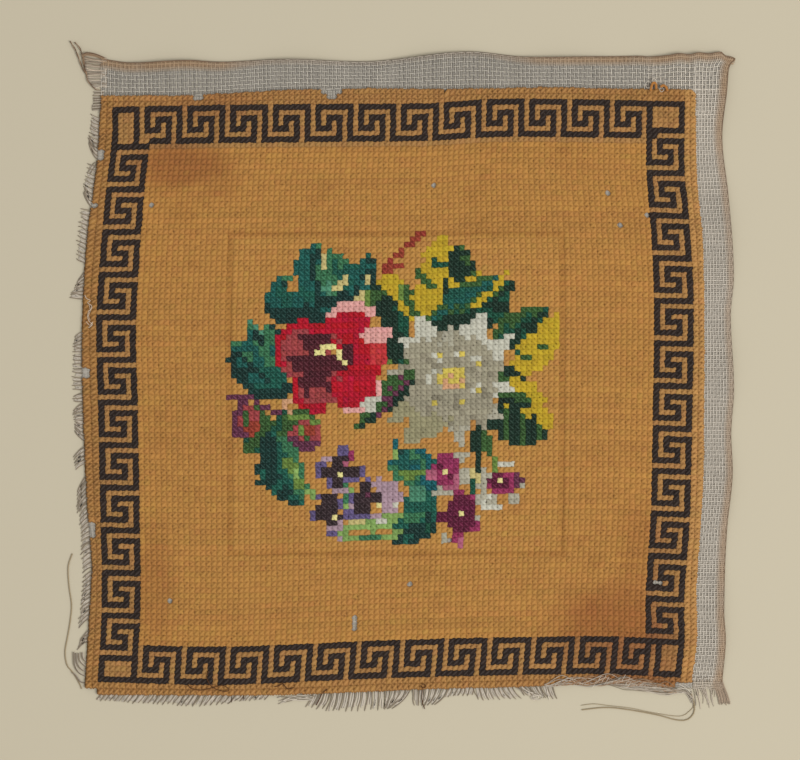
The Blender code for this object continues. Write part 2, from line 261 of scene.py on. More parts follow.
# Stitching wool: the tone of each stitch, its lengths of yarn side by side, and a painted highlight
# on its crest, with painted shade towards the edges and ends of each strand.
def makeWoolGroup():
    group, start, end = newGroup(
        "wool strand",
        {"Colour": (0.5, 0.3, 0.1, 1), "Painted Glint": (1, 1, 1, 1),
         "Unevenness": 0.1, "Painted Shade": 0.5, "Painted Glint Amount": 0.4},
        {"Colour": (0, 0, 0, 1), "Height": 0.0},
    )
    put, node, calc, mix, ramp = joiner(group)
    tone = node("ShaderNodeAttribute", attribute_name="tone").outputs["Fac"]
    warm = node("ShaderNodeAttribute", attribute_name="warm").outputs["Fac"]
    strand = node("ShaderNodeSeparateXYZ")
    put(strand.inputs[0], node("ShaderNodeUVMap", uv_map="strand").outputs[0])
    lengthwise, across = strand.outputs[0], strand.outputs[1]
    where = node("ShaderNodeTexCoord").outputs["Object"]
    fibre = noiseOf(node, where, 2600.0, 3.0)
    aside = calc("ABSOLUTE", across)
    ridge = calc("MULTIPLY_ADD", calc("COSINE", calc("MULTIPLY", aside, 3 * math.pi)), 0.5, 0.5)
    twist = calc("SINE", calc("MULTIPLY_ADD", lengthwise, 6.0, calc("MULTIPLY", tone, 9.0)))
    yarn = calc("MULTIPLY", ridge, calc("MULTIPLY_ADD", twist, 0.2, 0.8))
    outward = calc("MULTIPLY_ADD", aside, 0.40, calc("ABSOLUTE", lengthwise))
    crest = calc("SUBTRACT", 1.0, calc("POWER", outward, 2.6), clamp=True)
    rim = ramp(aside, 1.0, 0.60, (0.6, 1.0))
    shaded = node("ShaderNodeHueSaturation")
    put(shaded.inputs["Color"], start.outputs["Colour"])
    put(shaded.inputs["Hue"], calc("MULTIPLY_ADD", warm, 0.0028, 0.5))
    put(shaded.inputs["Value"], calc("MULTIPLY_ADD", tone, start.outputs["Unevenness"], 1.0))
    # painted light: brightest on the crest and the yarn ridges, less towards the strand's edges and ends
    paintedLight = calc("MULTIPLY", calc("MULTIPLY_ADD", crest, 0.4, 0.6), rim)
    paintedLight = calc("MULTIPLY", paintedLight, calc("MULTIPLY_ADD", yarn, 0.2, 0.8))
    paintedShade = calc("MULTIPLY", calc("SUBTRACT", 1.0, paintedLight), start.outputs["Painted Shade"])
    # painted shade: a dark brown mixed in towards the strand's edges and ends
    deep = mix("MULTIPLY", paintedShade, shaded.outputs[0], (0.30, 0.22, 0.15, 1))
    # painted highlight: the glint colour laid on the crest
    paintedGlint = calc("MULTIPLY", calc("MULTIPLY", crest, ramp(aside, 0.66, 0.0)),
                 ramp(fibre, 0.34, 0.62, (0.35, 1.0)))
    put(end.inputs["Colour"],
        mix("MIX", calc("MULTIPLY", paintedGlint, start.outputs["Painted Glint Amount"]), deep, start.outputs["Painted Glint"]))
    put(end.inputs["Height"], calc("MULTIPLY_ADD", fibre, 0.35, calc("MULTIPLY", yarn, 0.8)))
    return group


# Bast thread: slubs along it, its own tone, and brown where the edge was glued and handled.
def makeLinenGroup():
    group, start, end = newGroup(
        "linen thread",
        {"Colour": (0.5, 0.45, 0.38, 1), "Edge Colour": (0.3, 0.2, 0.12, 1), "Slubs": 0.25},
        {"Colour": (0, 0, 0, 1), "Height": 0.0},
    )
    put, node, calc, mix, ramp = joiner(group)
    tone = node("ShaderNodeAttribute", attribute_name="tone").outputs["Fac"]
    brown = node("ShaderNodeAttribute", attribute_name="brown").outputs["Fac"]
    where = node("ShaderNodeTexCoord").outputs["Object"]
    slub = noiseOf(node, where, 260.0, 2.0)
    fibre = noiseOf(node, where, 4200.0, 2.0)
    edge = calc("MULTIPLY", brown, ramp(noiseOf(node, where, 90.0), 0.2, 0.6, (0.75, 1.0)))
    tinted = mix("MIX", edge, start.outputs["Colour"], start.outputs["Edge Colour"])
    toned = node("ShaderNodeHueSaturation")
    put(toned.inputs["Color"], tinted)
    uneven = calc("MULTIPLY", calc("SUBTRACT", slub, 0.5), start.outputs["Slubs"])
    put(toned.inputs["Value"], calc("ADD", calc("MULTIPLY_ADD", tone, 0.1, 1.0), uneven))
    put(end.inputs["Colour"], toned.outputs[0])
    put(end.inputs["Height"], calc("MULTIPLY_ADD", fibre, 0.6, calc("MULTIPLY", slub, 0.4)))
    return group


wear = {
    "stains": (  # middle x, middle y, half width, half height, strength, in the frame
        (-106.0, 100.0, 27.0, 16.0, 0.86),
        (-90.0, 93.0, 16.0, 11.0, 0.4),
        (-118.0, -100.0, 11.0, 34.0, 0.45),
        (104.0, -122.0, 40.0, 26.0, 0.9),
        (116.0, -84.0, 16.0, 30.0, 0.45),
        (112.0, -144.0, 36.0, 9.0, 0.85),
        (120.0, -136.0, 24.0, 16.0, 0.5),
        (-92.0, 128.0, 30.0, 9.0, 0.4),
    ),
    "stainColour": (0.72, 0.57, 0.62),
    "fadedSquare": (-81.9, 76.3, -84.2, 67.8),  # left, right, low, high: lighter where it was framed
    "fadedColour": (1.03, 1.05, 1.05),
    "creaseColour": (0.86, 0.82, 0.78),
    "dirtColour": (0.84, 0.80, 0.78),
}


# Dye that has run, dirt, and the square that was kept out of the light, placed on the cloth.
def makeWearGroup():
    group, start, end = newGroup(
        "age and wear",
        {"Colour": (0.5, 0.3, 0.1, 1), "Amount": 1.0},
        {"Colour": (0, 0, 0, 1)},
    )
    put, node, calc, mix, ramp = joiner(group)
    where = node("ShaderNodeTexCoord").outputs["Object"]
    spot = node("ShaderNodeSeparateXYZ")
    put(spot.inputs[0], where)
    x, y = calc("MULTIPLY", spot.outputs[0], 1000.0), calc("MULTIPLY", spot.outputs[1], 1000.0)
    cloud = noiseOf(node, where, 42.0, 3.0)
    fine = noiseOf(node, where, 150.0, 2.0)
    stained = 0.0
    for middleX, middleY, wide, high, strength in wear["stains"]:
        across = calc("DIVIDE", calc("SUBTRACT", x, middleX), wide)
        down = calc("DIVIDE", calc("SUBTRACT", y, middleY), high)
        far = calc("SQRT", calc("ADD", calc("POWER", calc("ABSOLUTE", across), 2.0),
                                calc("POWER", calc("ABSOLUTE", down), 2.0)))
        ragged = calc("ADD", far, calc("MULTIPLY_ADD", cloud, 1.1, -0.55))
        stained = calc("MAXIMUM", calc("MULTIPLY", ramp(ragged, 1.15, 0.35), strength), stained)
    left, right, low, high = wear["fadedSquare"]
    inX = calc("MINIMUM", calc("SUBTRACT", x, left), calc("SUBTRACT", right, x))
    inY = calc("MINIMUM", calc("SUBTRACT", y, low), calc("SUBTRACT", high, y))
    inside = calc("MINIMUM", inX, inY)
    square = ramp(inside, -0.8, 0.8)
    line = calc("SUBTRACT", 1.0, ramp(calc("ABSOLUTE", inside), 0.5, 2.2))
    colour = mix("MULTIPLY", square, start.outputs["Colour"], (*wear["fadedColour"], 1))
    colour = mix("MULTIPLY", line, colour, (*wear["creaseColour"], 1))
    dirty = calc("MULTIPLY", ramp(cloud, 0.50, 0.72), ramp(fine, 0.25, 0.7))
    colour = mix("MULTIPLY", calc("MULTIPLY", dirty, 0.75), colour, (*wear["dirtColour"], 1))
    colour = mix("MULTIPLY", stained, colour, (*wear["stainColour"], 1))
    put(end.inputs["Colour"], mix("MIX", start.outputs["Amount"], start.outputs["Colour"], colour))
    return group


woolGroup = makeWoolGroup()
linenGroup = makeLinenGroup()
wearGroup = makeWearGroup()

# Name: colour, how much single stitches differ, share of the cloth's wear, extra painted shade and
# highlight
woolShades = {
    "mustard": (dye(181, 131, 66), 0.06, 1.0, 0.08),
    "mustardKey": (dye(165, 122, 70), 0.09, 1.0, 0.2),
    "mustardEdge": (dye(164, 119, 65), 0.11, 0.9, 0.4),
    "mustardDeep": (dye(157, 113, 60), 0.11, 0.9, 0.4),
    "mustardPale": (dye(180, 134, 76), 0.10, 0.5, 0.4),
    "black": (dye(38, 27, 21), 0.18, 0.2, -0.2),
    "tealDeep": (dye(4, 46, 41), 0.18, 0.2),
    "teal": (dye(15, 79, 66), 0.16, 0.2),
    "lagoon": (dye(15, 81, 74), 0.16, 0.2),
    "fern": (dye(52, 108, 74), 0.14, 0.2),
    "tealSoft": (dye(70, 128, 102), 0.12, 0.2),
    "celery": (dye(194, 180, 120), 0.08, 0.3),
    "bottle": (dye(8, 40, 27), 0.20, 0.2),
    "moss": (dye(48, 82, 38), 0.16, 0.2),
    "mossSoft": (dye(98, 126, 56), 0.14, 0.2),
    "pine": (dye(8, 68, 50), 0.16, 0.2),
    "yellow": (dye(186, 157, 38), 0.09, 0.3),
    "peacock": (dye(6, 84, 90), 0.16, 0.2),
    "leafLight": (dye(128, 160, 88), 0.14, 0.3),
    "crimson": (dye(172, 6, 36), 0.12, 0.1),
    "coral": (dye(188, 52, 54), 0.12, 0.1),
    "rose": (dye(152, 62, 64), 0.12, 0.1),
    "blush": (dye(220, 162, 156), 0.08, 0.2),
    "maroon": (dye(70, 18, 30), 0.20, 0.1),
    "stamen": (dye(224, 214, 144), 0.08, 0.2),
    "brickRed": (dye(142, 54, 38), 0.12, 0.2),
    "oatmeal": (dye(157, 151, 130), 0.07, 0.3),
    "oatmealShade": (dye(136, 130, 111), 0.08, 0.3),
    "oliveGrey": (dye(149, 144, 112), 0.08, 0.3),
    "white": (dye(194, 193, 178), 0.06, 0.2),
    "gold": (dye(200, 180, 84), 0.10, 0.2),
    "shellPink": (dye(204, 156, 118), 0.10, 0.2),
    "pansyBlack": (dye(46, 32, 36), 0.20, 0.1),
    "violet": (dye(94, 82, 124), 0.14, 0.1),
    "lavender": (dye(168, 142, 154), 0.10, 0.2),
    "plum": (dye(92, 42, 66), 0.14, 0.1),
    "pinkPale": (dye(170, 92, 116), 0.12, 0.1),
    "magenta": (dye(138, 44, 84), 0.14, 0.1),
    "wine": (dye(86, 16, 48), 0.16, 0.1),
    "silver": (dye(168, 164, 146), 0.08, 0.3),
}


def addGroup(tree, group):
    made = tree.nodes.new("ShaderNodeGroup")
    made.node_tree = group
    return made


def newFinish(name):
    finish = bpy.data.materials.new(name)
    finish.use_nodes = True
    shader = finish.node_tree.nodes["Principled BSDF"]
    shader.inputs["Roughness"].default_value = 0.92
    shader.inputs["Specular IOR Level"].default_value = 0.18
    shader.inputs["Sheen Weight"].default_value = 0.12
    shader.inputs["Sheen Roughness"].default_value = 0.5
    return finish, finish.node_tree, shader


def bumpInto(tree, height, shader, distance, strength):
    bump = tree.nodes.new("ShaderNodeBump")
    bump.inputs["Distance"].default_value = distance
    bump.inputs["Strength"].default_value = strength
    tree.links.new(height, bump.inputs["Height"])
    tree.links.new(bump.outputs[0], shader.inputs["Normal"])


def woolFinish(name, colour, unevenness, wearAmount, paintedContrast=0.0):
    finish, tree, shader = newFinish("wool " + name)
    strand, age = addGroup(tree, woolGroup), addGroup(tree, wearGroup)
    strand.inputs["Colour"].default_value = (*colour, 1)
    grey = sum(colour) / 3
    dark = 1 - min(1, grey / 0.22)
    # colour of the painted highlight: the wool's own, lighter, and lifted more for dark wools
    paintedGlintColour = [min(1.0, part * (1.22 + 0.9 * dark) + 0.03 + 0.02 * dark) for part in colour]
    strand.inputs["Painted Glint"].default_value = (*paintedGlintColour, 1)
    strand.inputs["Unevenness"].default_value = unevenness
    # how much painted shade and painted highlight the strand takes, more for dark wools
    strand.inputs["Painted Shade"].default_value = 0.42 + 0.38 * dark + paintedContrast
    strand.inputs["Painted Glint Amount"].default_value = 0.36 + 0.44 * dark + paintedContrast
    age.inputs["Amount"].default_value = wearAmount
    tree.links.new(strand.outputs["Colour"], age.inputs["Colour"])
    tree.links.new(age.outputs["Colour"], shader.inputs["Base Color"])
    bumpInto(tree, strand.outputs["Height"], shader, 0.00022, 0.75)
    return finish


linens = {
    "margin": (dye(188, 180, 168), dye(176, 150, 122)),
    "marginGrey": (dye(166, 160, 150), dye(162, 136, 108)),
    "hem": (dye(132, 123, 110), dye(142, 114, 88)),
    "underWool": (dye(158, 108, 50), dye(158, 108, 50)),
    "underFluffShade": (dye(62, 48, 34), dye(62, 48, 34)),
    "fringe": (dye(202, 192, 177), dye(150, 124, 98)),
    "fringeDark": (dye(136, 124, 107), dye(116, 92, 72)),
    "loose": (dye(150, 134, 106), dye(140, 116, 88)),
    "pale": (dye(212, 198, 180), dye(196, 158, 126)),
    "rusty": (dye(164, 128, 96), dye(150, 100, 62)),
    "woolEnd": (dye(170, 114, 56), dye(150, 100, 62)),
    "brownWool": (dye(88, 54, 26), dye(88, 54, 26)),
}


def linenFinish(name, colour, edgeColour):
    finish, tree, shader = newFinish("linen " + name)
    thread = addGroup(tree, linenGroup)
    thread.inputs["Colour"].default_value = (*colour, 1)
    thread.inputs["Edge Colour"].default_value = (*edgeColour, 1)
    tree.links.new(thread.outputs["Colour"], shader.inputs["Base Color"])
    bumpInto(tree, thread.outputs["Height"], shader, 0.00012, 0.6)
    return finish


woolFinishes = {name: woolFinish(name, *given) for name, given in woolShades.items()}
linenFinishes = {name: linenFinish(name, *given) for name, given in linens.items()}
print("finishes made:", len(woolFinishes), "wools and", len(linenFinishes), "linens")


# One piece from points in the tables' millimetres, quads, and what each point and quad is.
def meshOf(name, points, quads, uvs, values, kinds, finishes, slot):
    mesh = bpy.data.meshes.new(name)
    placed = np.array(points, float)
    placed[:, :2] += frameShift
    mesh.vertices.add(len(placed))
    mesh.vertices.foreach_set("co", (placed * mm).astype(np.float32).ravel())
    mesh.loops.add(4 * len(quads))
    mesh.loops.foreach_set("vertex_index", quads.astype(np.int32).ravel())
    mesh.polygons.add(len(quads))
    mesh.polygons.foreach_set("loop_start", np.arange(0, 4 * len(quads), 4, dtype=np.int32))
    mesh.polygons.foreach_set("material_index", np.asarray(kinds, np.int32))
    mesh.polygons.foreach_set("use_smooth", np.ones(len(quads), bool))
    layer = mesh.uv_layers.new(name="strand")
    layer.data.foreach_set("uv", uvs[quads.ravel()].astype(np.float32).ravel())
    for label, given in values.items():
        attribute = mesh.attributes.new(label, "FLOAT", "POINT")
        attribute.data.foreach_set("value", np.asarray(given, np.float32))
    mesh.update(calc_edges=True)
    for finish in finishes:
        mesh.materials.append(finish)
    piece = bpy.data.objects.new(name, mesh)
    bpy.context.scene.collection.objects.link(piece)
    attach(piece, "root")
    return piece


# The lengths of a path up to each of its points.
def reachOf(path):
    return np.concatenate([[0], np.cumsum(np.linalg.norm(np.diff(path, axis=0), axis=1))])


def unit(vectors):
    return vectors / np.maximum(np.linalg.norm(vectors, axis=1, keepdims=True), 1e-9)


# Quads of a grid of points, row by row; order says which corner comes first, and which way round.
def gridQuads(rows, columns, order=(0, 1, 2, 3)):
    first = (np.arange(rows - 1)[:, None] * columns + np.arange(columns - 1)).reshape(-1, 1)
    return (first + np.array([0, 1, columns + 1, columns]))[:, list(order)]


# Points, quads and uvs of one thread along a path, with four sides and closed ends.
def tube(path, wide, thick, taper):
    count = len(path)
    ahead = unit(np.gradient(path, axis=0))
    side = unit(np.cross(ahead, (0, 0, 1.0)))
    over = np.cross(side, ahead)
    angle = np.pi * (np.arange(4) + 0.5) / 2
    thin = np.ones((count, 1, 1))
    thin[-1] -= taper
    ring = (path[:, None] + side[:, None] * (np.cos(angle)[None, :, None] * wide * thin)
            + over[:, None] * (np.sin(angle)[None, :, None] * thick * thin))
    uv = np.stack(np.broadcast_arrays(reachOf(path)[:, None], np.arange(4)[None] / 4), axis=-1)
    i, k = np.meshgrid(4 * np.arange(count - 1), np.arange(4), indexing="ij")
    nextK = (k + 1) % 4
    quads = np.stack([i + k, i + nextK, i + 4 + nextK, i + 4 + k], axis=-1).reshape(-1, 4)
    quads = np.concatenate([quads, [[3, 2, 1, 0], np.arange(4) + (count - 1) * 4]])
    return ring.reshape(-1, 3), quads, uv.reshape(-1, 2)


# One thread as threadPiece takes it: its path, its half width, and how it looks.
def thread(x, y, z, wide, tone=0.0, **look):
    return {"path": np.stack(np.broadcast_arrays(x, y, z), axis=1), "wide": wide, "tone": tone, **look}


# Points, quads and uvs of many parts as those of one.
def joined(parts):
    points, quads, uvs = zip(*parts)
    starts = np.cumsum([0, *map(len, points)])
    return (np.concatenate(points), np.concatenate([q + start for q, start in zip(quads, starts)]),
            np.concatenate(uvs))


def threadPiece(name, threads, finishes, slot="frayed_linen"):
    parts = [tube(one["path"], one["wide"], one.get("thick", one["wide"]), one.get("taper", 0.0))
             for one in threads]
    kinds = [np.full(len(part[1]), one.get("kind", 0)) for one, part in zip(threads, parts)]
    values = {}
    for key in ("tone", "brown"):  # one for the whole thread, or one for each point of its path
        each = [np.broadcast_to(one.get(key, 0.0), len(one["path"])) for one in threads]
        values[key] = np.repeat(np.concatenate(each), 4)
    return meshOf(name, *joined(parts), values, np.concatenate(kinds), finishes, slot)


# Evenly stepped points on a smooth curve through given ones.
def curveThrough(points, count):
    given = np.array(points, float)
    ends = np.concatenate([given[:1], given, given[-1:]])
    fine = []
    for a, b, c, d in zip(ends, ends[1:], ends[2:], ends[3:]):
        for t in np.arange(24) / 24:
            fine.append(0.5 * (2 * b + (c - a) * t + (2 * a - 5 * b + 4 * c - d) * t * t
                               + (3 * b - 3 * c + d - a) * t**3))
    fine = np.array(fine + [given[-1]])
    reach = reachOf(fine)
    at = np.linspace(0, reach[-1], count)
    return np.stack([np.interp(at, reach, column) for column in fine.T], axis=1)


looseThreads = {
    "diameter": 0.6,
    "height": 0.32,
    "points": 34,
    "left": ((-149.4, -142), (-150.6, -139.2), (-153.6, -134.2), (-156.4, -130.6),
             (-157.3, -124.2), (-156, -116.8), (-154.8, -109.4), (-154.2, -101.8),
             (-155.4, -93), (-155.8, -83.8), (-153.8, -77.6)),
    "second": ((138.3, -143.9), (141.2, -147.5), (142.1, -150.4), (140.1, -152.7), (137.2, -154.7),
               (132.5, -154.9), (120.9, -153.0), (112.2, -151.2), (101.7, -150.0), (94.7, -149.2),
               (88.4, -149.9)),
    "bottom": ((141, -144.2), (142.6, -149.6), (142.1, -153.9), (138.8, -156.8),
               (133.4, -156.7), (125.2, -154.5), (111.5, -152), (100.5, -150.9), (89, -152)),
}


# A thinner strand that has come away beside the bottom loose thread.
def secondStrand():
    x, y = curveThrough(looseThreads["second"], 40).T
    return threadPiece("loose_thread_bottom_second", [thread(x, y, 0.2, 0.19, 0.6, taper=0.5)],
                       [linenFinishes["loose"]])


def looseThread(name, route, node, beside=()):
    path = curveThrough(route, looseThreads["points"]) + frameShift
    height = looseThreads["height"] * mm
    curve = bpy.data.curves.new(name, "CURVE")
    curve.dimensions = "3D"
    curve.bevel_depth = looseThreads["diameter"] / 2 * mm
    curve.bevel_resolution = 3
    curve.use_fill_caps = True
    line = curve.splines.new("POLY")
    line.points.add(len(path) - 1)
    for point, (x, y) in zip(line.points, path):
        point.co = (x * mm, y * mm, height, 1)
    curve.materials.append(linenFinishes["loose"])
    piece = bpy.data.objects.new(name, curve)
    bpy.context.scene.collection.objects.link(piece)
    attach(piece, "root")
    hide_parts(node)


looseThread("loose_thread_left_strand", looseThreads["left"], "loose_thread_left")
looseThread("loose_thread_bottom_strand", looseThreads["bottom"], "loose_thread_bottom",
            [secondStrand()])
print("loose threads laid")


grid = {
    "columns": 107,  # of the key border, with two columns and two or three rows more all round
    "rows": 108,
    "top": ((-134, 135), (-80, 136), (-20, 136.5), (16, 136.8), (48, 138.8), (98, 138.4),
            (138, 137.7)),
    "bottom": ((-141, -138.4), (-86, -139.8), (-45, -138.4), (-4, -136.5), (78, -134.7),
               (99, -134.7), (136, -136.3)),
    "left": ((135, -134.4), (119, -134.7), (91, -137.9), (60, -140.5), (30, -142.1),
             (-5, -141.2), (-60, -140.1), (-100, -139.5), (-138, -141.4)),
    "right": ((137.5, 137.7), (105, 137.6), (84, 139.5), (43, 141.9), (-19, 141.1),
              (-59, 140.1), (-100, 137.4), (-119, 137.5), (-136, 135.8)),
    "corners": ((-134.3, 135.0), (137.7, 137.6), (-141.3, -138.3), (135.9, -136.2)),
    "threeRows": (-86, 24),  # from and to where there is a third row over the border
}
keyTop = ("XXXXXXX.", "X.....X.", "X.XXX.X.", "X.X.X.X.", "XXX.X.X.", "....X.X.", "XXXXX.XX")
keySide = ("X.XXXXX", "X.X...X", "X.XXX.X", "X...X.X", "XXXXX.X", "......X", "XXXXXXX", "X......")
cornerBoxes = (  # lines that close the corners: column, row, width, height
    (0, 0, 5, 1), (0, 0, 1, 9), (4, 0, 1, 8), (0, 7, 7, 1), (100, 0, 7, 1), (106, 0, 1, 6),
    (100, 5, 7, 1), (100, 0, 1, 7), (0, 103, 7, 1), (0, 103, 1, 5), (6, 103, 1, 5), (0, 107, 13, 1),
    (96, 101, 11, 1), (102, 101, 1, 7), (106, 101, 1, 7), (102, 107, 5, 1),
)
firstColumn, firstRow = -2, -3
columnCount, rowCount = 111, 113


# Where a corner of the stitch grid lies, in millimetres.
def clothPoint(c, r):
    c, r = np.asarray(c, float), np.asarray(r, float)
    u, v = np.clip(c / grid["columns"], 0, 1), np.clip(r / grid["rows"], 0, 1)
    (tlX, tlY), (trX, trY), (blX, blY), (brX, brY) = grid["corners"]
    topX, bottomX = tlX + (trX - tlX) * u, blX + (brX - blX) * u
    leftY, rightY = tlY + (blY - tlY) * v, trY + (brY - trY) * v
    flatX = (1 - v) * topX + v * bottomX
    flatY = (1 - u) * leftY + u * rightY
    x = flatX + (1 - u) * (along(grid["left"], leftY) - (tlX + (blX - tlX) * v))
    x += u * (along(grid["right"], rightY) - (trX + (brX - trX) * v))
    y = flatY + (1 - v) * (along(grid["top"], topX) - (tlY + (trY - tlY) * u))
    y += v * (along(grid["bottom"], bottomX) - (blY + (brY - blY) * u))
    leftStep = (x - along(cloth["woolLeft"], y)) / 2
    rightStep = (along(cloth["woolRight"], y) - x) / 2
    x = x + np.minimum(c, 0) * leftStep + np.maximum(c - grid["columns"], 0) * rightStep
    topRows = np.where((x > grid["threeRows"][0]) & (x < grid["threeRows"][1]), 3, 2)
    topStep = (along(cloth["woolTop"], x) - y) / topRows
    bottomStep = (y - along(cloth["woolBottom"], x)) / 2
    y = y + np.minimum(np.maximum(-r, 0), topRows) * topStep
    y = y - np.maximum(r - grid["rows"], 0) * bottomStep
    return x, y


columnOf, rowOf = np.meshgrid(np.arange(columnCount) + firstColumn,
                              np.arange(rowCount) + firstRow)
stitchC, stitchR = columnOf + 0.5, rowOf + 0.5
middleX, middleY = clothPoint(stitchC, stitchR)
shadeNames = ["bare", *woolShades]
groundShades = [shadeNames.index(name) for name in woolShades if name.startswith("mustard")]
chart = np.full(columnOf.shape, shadeNames.index("mustard"))
stitched = np.ones(columnOf.shape, bool)
stitched &= (rowOf >= -2) | ((middleX > grid["threeRows"][0]) & (middleX < grid["threeRows"][1]))
stitched &= (rowOf < 109) | (columnOf >= 0)


def sew(where, shade):
    chart[where & stitched] = shadeNames.index(shade)


# The black key border, twelve keys to a side, with a box at each corner.
def sewKeys():
    marks = np.zeros(chart.shape, bool)

    def mark(c, r, wide=1, high=1, value=True):
        marks[r - firstRow:r - firstRow + high, c - firstColumn:c - firstColumn + wide] = value

    for k in range(12):
        for rows, c, r in ((keyTop, 6 + 8 * k, 0), (keyTop, 8 + 8 * k, 101),
                           (keySide, 0, 9 + 8 * k), (keySide, 100, 7 + 8 * k)):
            for down, row in enumerate(rows):
                for across, sign in enumerate(row):
                    if sign == "X":
                        mark(c + across, r + down)
    mark(6, 6, value=False)
    mark(103, 101, 4, 7, False)
    for box in cornerBoxes:
        mark(*box)
    outside = (columnOf < 0) | (columnOf >= 107) | (rowOf < 0) | (rowOf >= 108)
    ring = (columnOf < 7) | (columnOf >= 100) | (rowOf < 8) | (rowOf >= 101)
    sew(ring & ~outside, "mustardKey")
    sew(outside, "mustardEdge")
    sew(outside & (columnOf < 0), "mustardDeep")
    sew(outside & (columnOf >= 107), "mustardPale")
    sew(marks, "black")
    return marks


# How far along a curved line each stitch is, from 0 to 1, and how far to its right.
def limb(base, tip, bend=0.0):
    dx, dy = tip[0] - base[0], tip[1] - base[1]
    length = math.hypot(dx, dy)
    s = ((stitchC - base[0]) * dx + (stitchR - base[1]) * dy) / length**2
    t = (dx * (stitchR - base[1]) - dy * (stitchC - base[0])) / length
    return s, t - bend * np.sin(np.pi * np.clip(s, 0, 1))


# A leaf in dark, middle and light shades, with its dark half to one side of the vein; a fourth
# shade is the vein's own.
def leaf(base, tip, width, shades, bend=0.0, full=0.42, teeth=0.0, notch=0.3, shadeSide=1, ribs=0.0):
    names = shades.split()
    dark, middle, light = (names * 3)[:3]
    s, t = limb(base, tip, bend)
    rise = np.sin(np.pi / 2 * np.clip(s / full, 0, 1)) ** 0.7
    fall = np.cos(np.pi / 2 * np.clip((s - full) / (1 - full), 0, 1)) ** 0.75
    half = width / 2 * np.minimum(rise, fall)
    if teeth:
        half = half * (1 - notch * ((s * teeth) % 1.0))
    inside = (s >= 0) & (s <= 1) & (np.abs(t) <= half)
    side = t / np.maximum(half, 0.1) * shadeSide
    sew(inside, middle)
    sew(inside & (side < -0.5), light)
    sew(inside & (side > 0.08), dark)
    if ribs:
        rib = ((s * ribs - np.abs(t) * 0.16) % 1.0) < 0.42
        sew(inside & rib & (side > 0.2) & (side < 0.9), middle)
        sew(inside & rib & (side < -0.15) & (side > -0.9), light)
    if len(names) > 3:
        sew(inside & (np.abs(t) < 0.52) & (s > 0.12) & (s < 0.86), names[3])


# A rounded petal, with a rim of another shade on the side that faces rimToward degrees.
def petal(c, r, wide, high, shade, turn=0.0, rim=None, rimToward=0.0, rimDeep=0.28, rimSpread=0.2):
    a = math.radians(turn)
    dx, dy = stitchC - c, stitchR - r
    x, y = dx * math.cos(a) + dy * math.sin(a), -dx * math.sin(a) + dy * math.cos(a)
    far = np.hypot(x / wide, y / high)
    inside = far <= 1
    sew(inside, shade)
    if rim:
        toward = math.radians(rimToward)
        facing = (dx * math.cos(toward) - dy * math.sin(toward)) / np.maximum(np.hypot(dx, dy), 0.1)
        sew(inside & (far > 1 - rimDeep) & (facing > rimSpread), rim)


# A line one stitch wide, stepping from point to point.
def steps(shade, *points):
    for (c, r), (nextC, nextR) in zip(points, points[1:]):
        count = int(max(abs(nextC - c), abs(nextR - r))) + 1
        for t in np.linspace(0, 1, count + 1):
            sew((columnOf == round(c + (nextC - c) * t)) & (rowOf == round(r + (nextR - r) * t)), shade)


# Oblongs of one shade: column and row, then width and height where they aren't 1.
def blocks(shade, *places):
    for place in places:
        c, r, wide, high = (*place, 1, 1)[:4]
        sew((columnOf >= c) & (columnOf < c + wide) & (rowOf >= r) & (rowOf < r + high), shade)


def sewTopLeftLeaves():
    leaf((39.5, 40.8), (30.0, 37.0), 6.6, "lagoon tealDeep tealDeep teal", bend=0.5, full=0.6)
    leaf((41, 40.0), (30.6, 34.6), 7.0, "fern lagoon tealDeep tealDeep", bend=0.8, full=0.62, ribs=4)
    leaf((38.5, 38.5), (32.4, 32.2), 4.4, "fern lagoon lagoon tealDeep", full=0.6)
    leaf((41.2, 39.4), (38.6, 25.8), 6.4, "fern lagoon lagoon tealDeep", bend=-0.9, full=0.56, ribs=4)
    leaf((43.6, 39), (41.6, 27.2), 6.6, "fern fern tealSoft teal", bend=0.7, full=0.55)
    leaf((45.4, 38.4), (45.2, 30.6), 4.4, "fern teal fern", full=0.6)
    leaf((45.0, 38.6), (49.0, 28.4), 6.6, "tealDeep lagoon teal lagoon", bend=-0.7, full=0.62, ribs=3)
    petal(38.2, 30.2, 2.9, 3.6, "lagoon")
    petal(37.2, 34.8, 1.9, 1.9, "lagoon")
    steps("tealDeep", (39, 27), (38, 30), (39, 34))
    petal(40.6, 31.4, 1.5, 2.6, "fern")
    petal(32.0, 35.6, 1.7, 2.3, "lagoon")
    petal(33.6, 36.0, 1.2, 2.0, "teal", turn=-20)
    blocks("mustard", (34, 33, 2, 2), (35, 32), (45, 27, 2, 3))
    petal(37.4, 39.6, 4.6, 1.7, "tealDeep", turn=8)
    petal(43.4, 37.0, 4.6, 1.5, "tealDeep", turn=-4)
    petal(37.6, 35.6, 2.0, 0.9, "teal", turn=30)
    blocks("celery", (40, 28, 1, 3), (44, 32, 1, 2), (43, 33), (42, 34, 2), (48, 32, 1, 2),
           (47, 35, 1, 2), (46, 36))


def sewLeftLeaf():
    leaf((33.6, 53.6), (24.0, 44.6), 7.8, "fern lagoon tealDeep tealDeep", bend=-0.6, full=0.62, ribs=4)
    leaf((32.4, 51), (27.0, 40.4), 5.2, "tealSoft fern lagoon tealDeep", bend=0.5)
    leaf((33.4, 51), (30.6, 40.6), 4.6, "tealDeep lagoon fern fern", bend=0.4)
    petal(31.2, 52.8, 3.9, 2.4, "tealDeep")
    petal(31.4, 50.2, 3.0, 1.2, "teal", turn=24)
    blocks("lagoon", (27, 51, 3))
    blocks("teal", (28, 52, 5))
    blocks("tealDeep", (29, 54, 4))


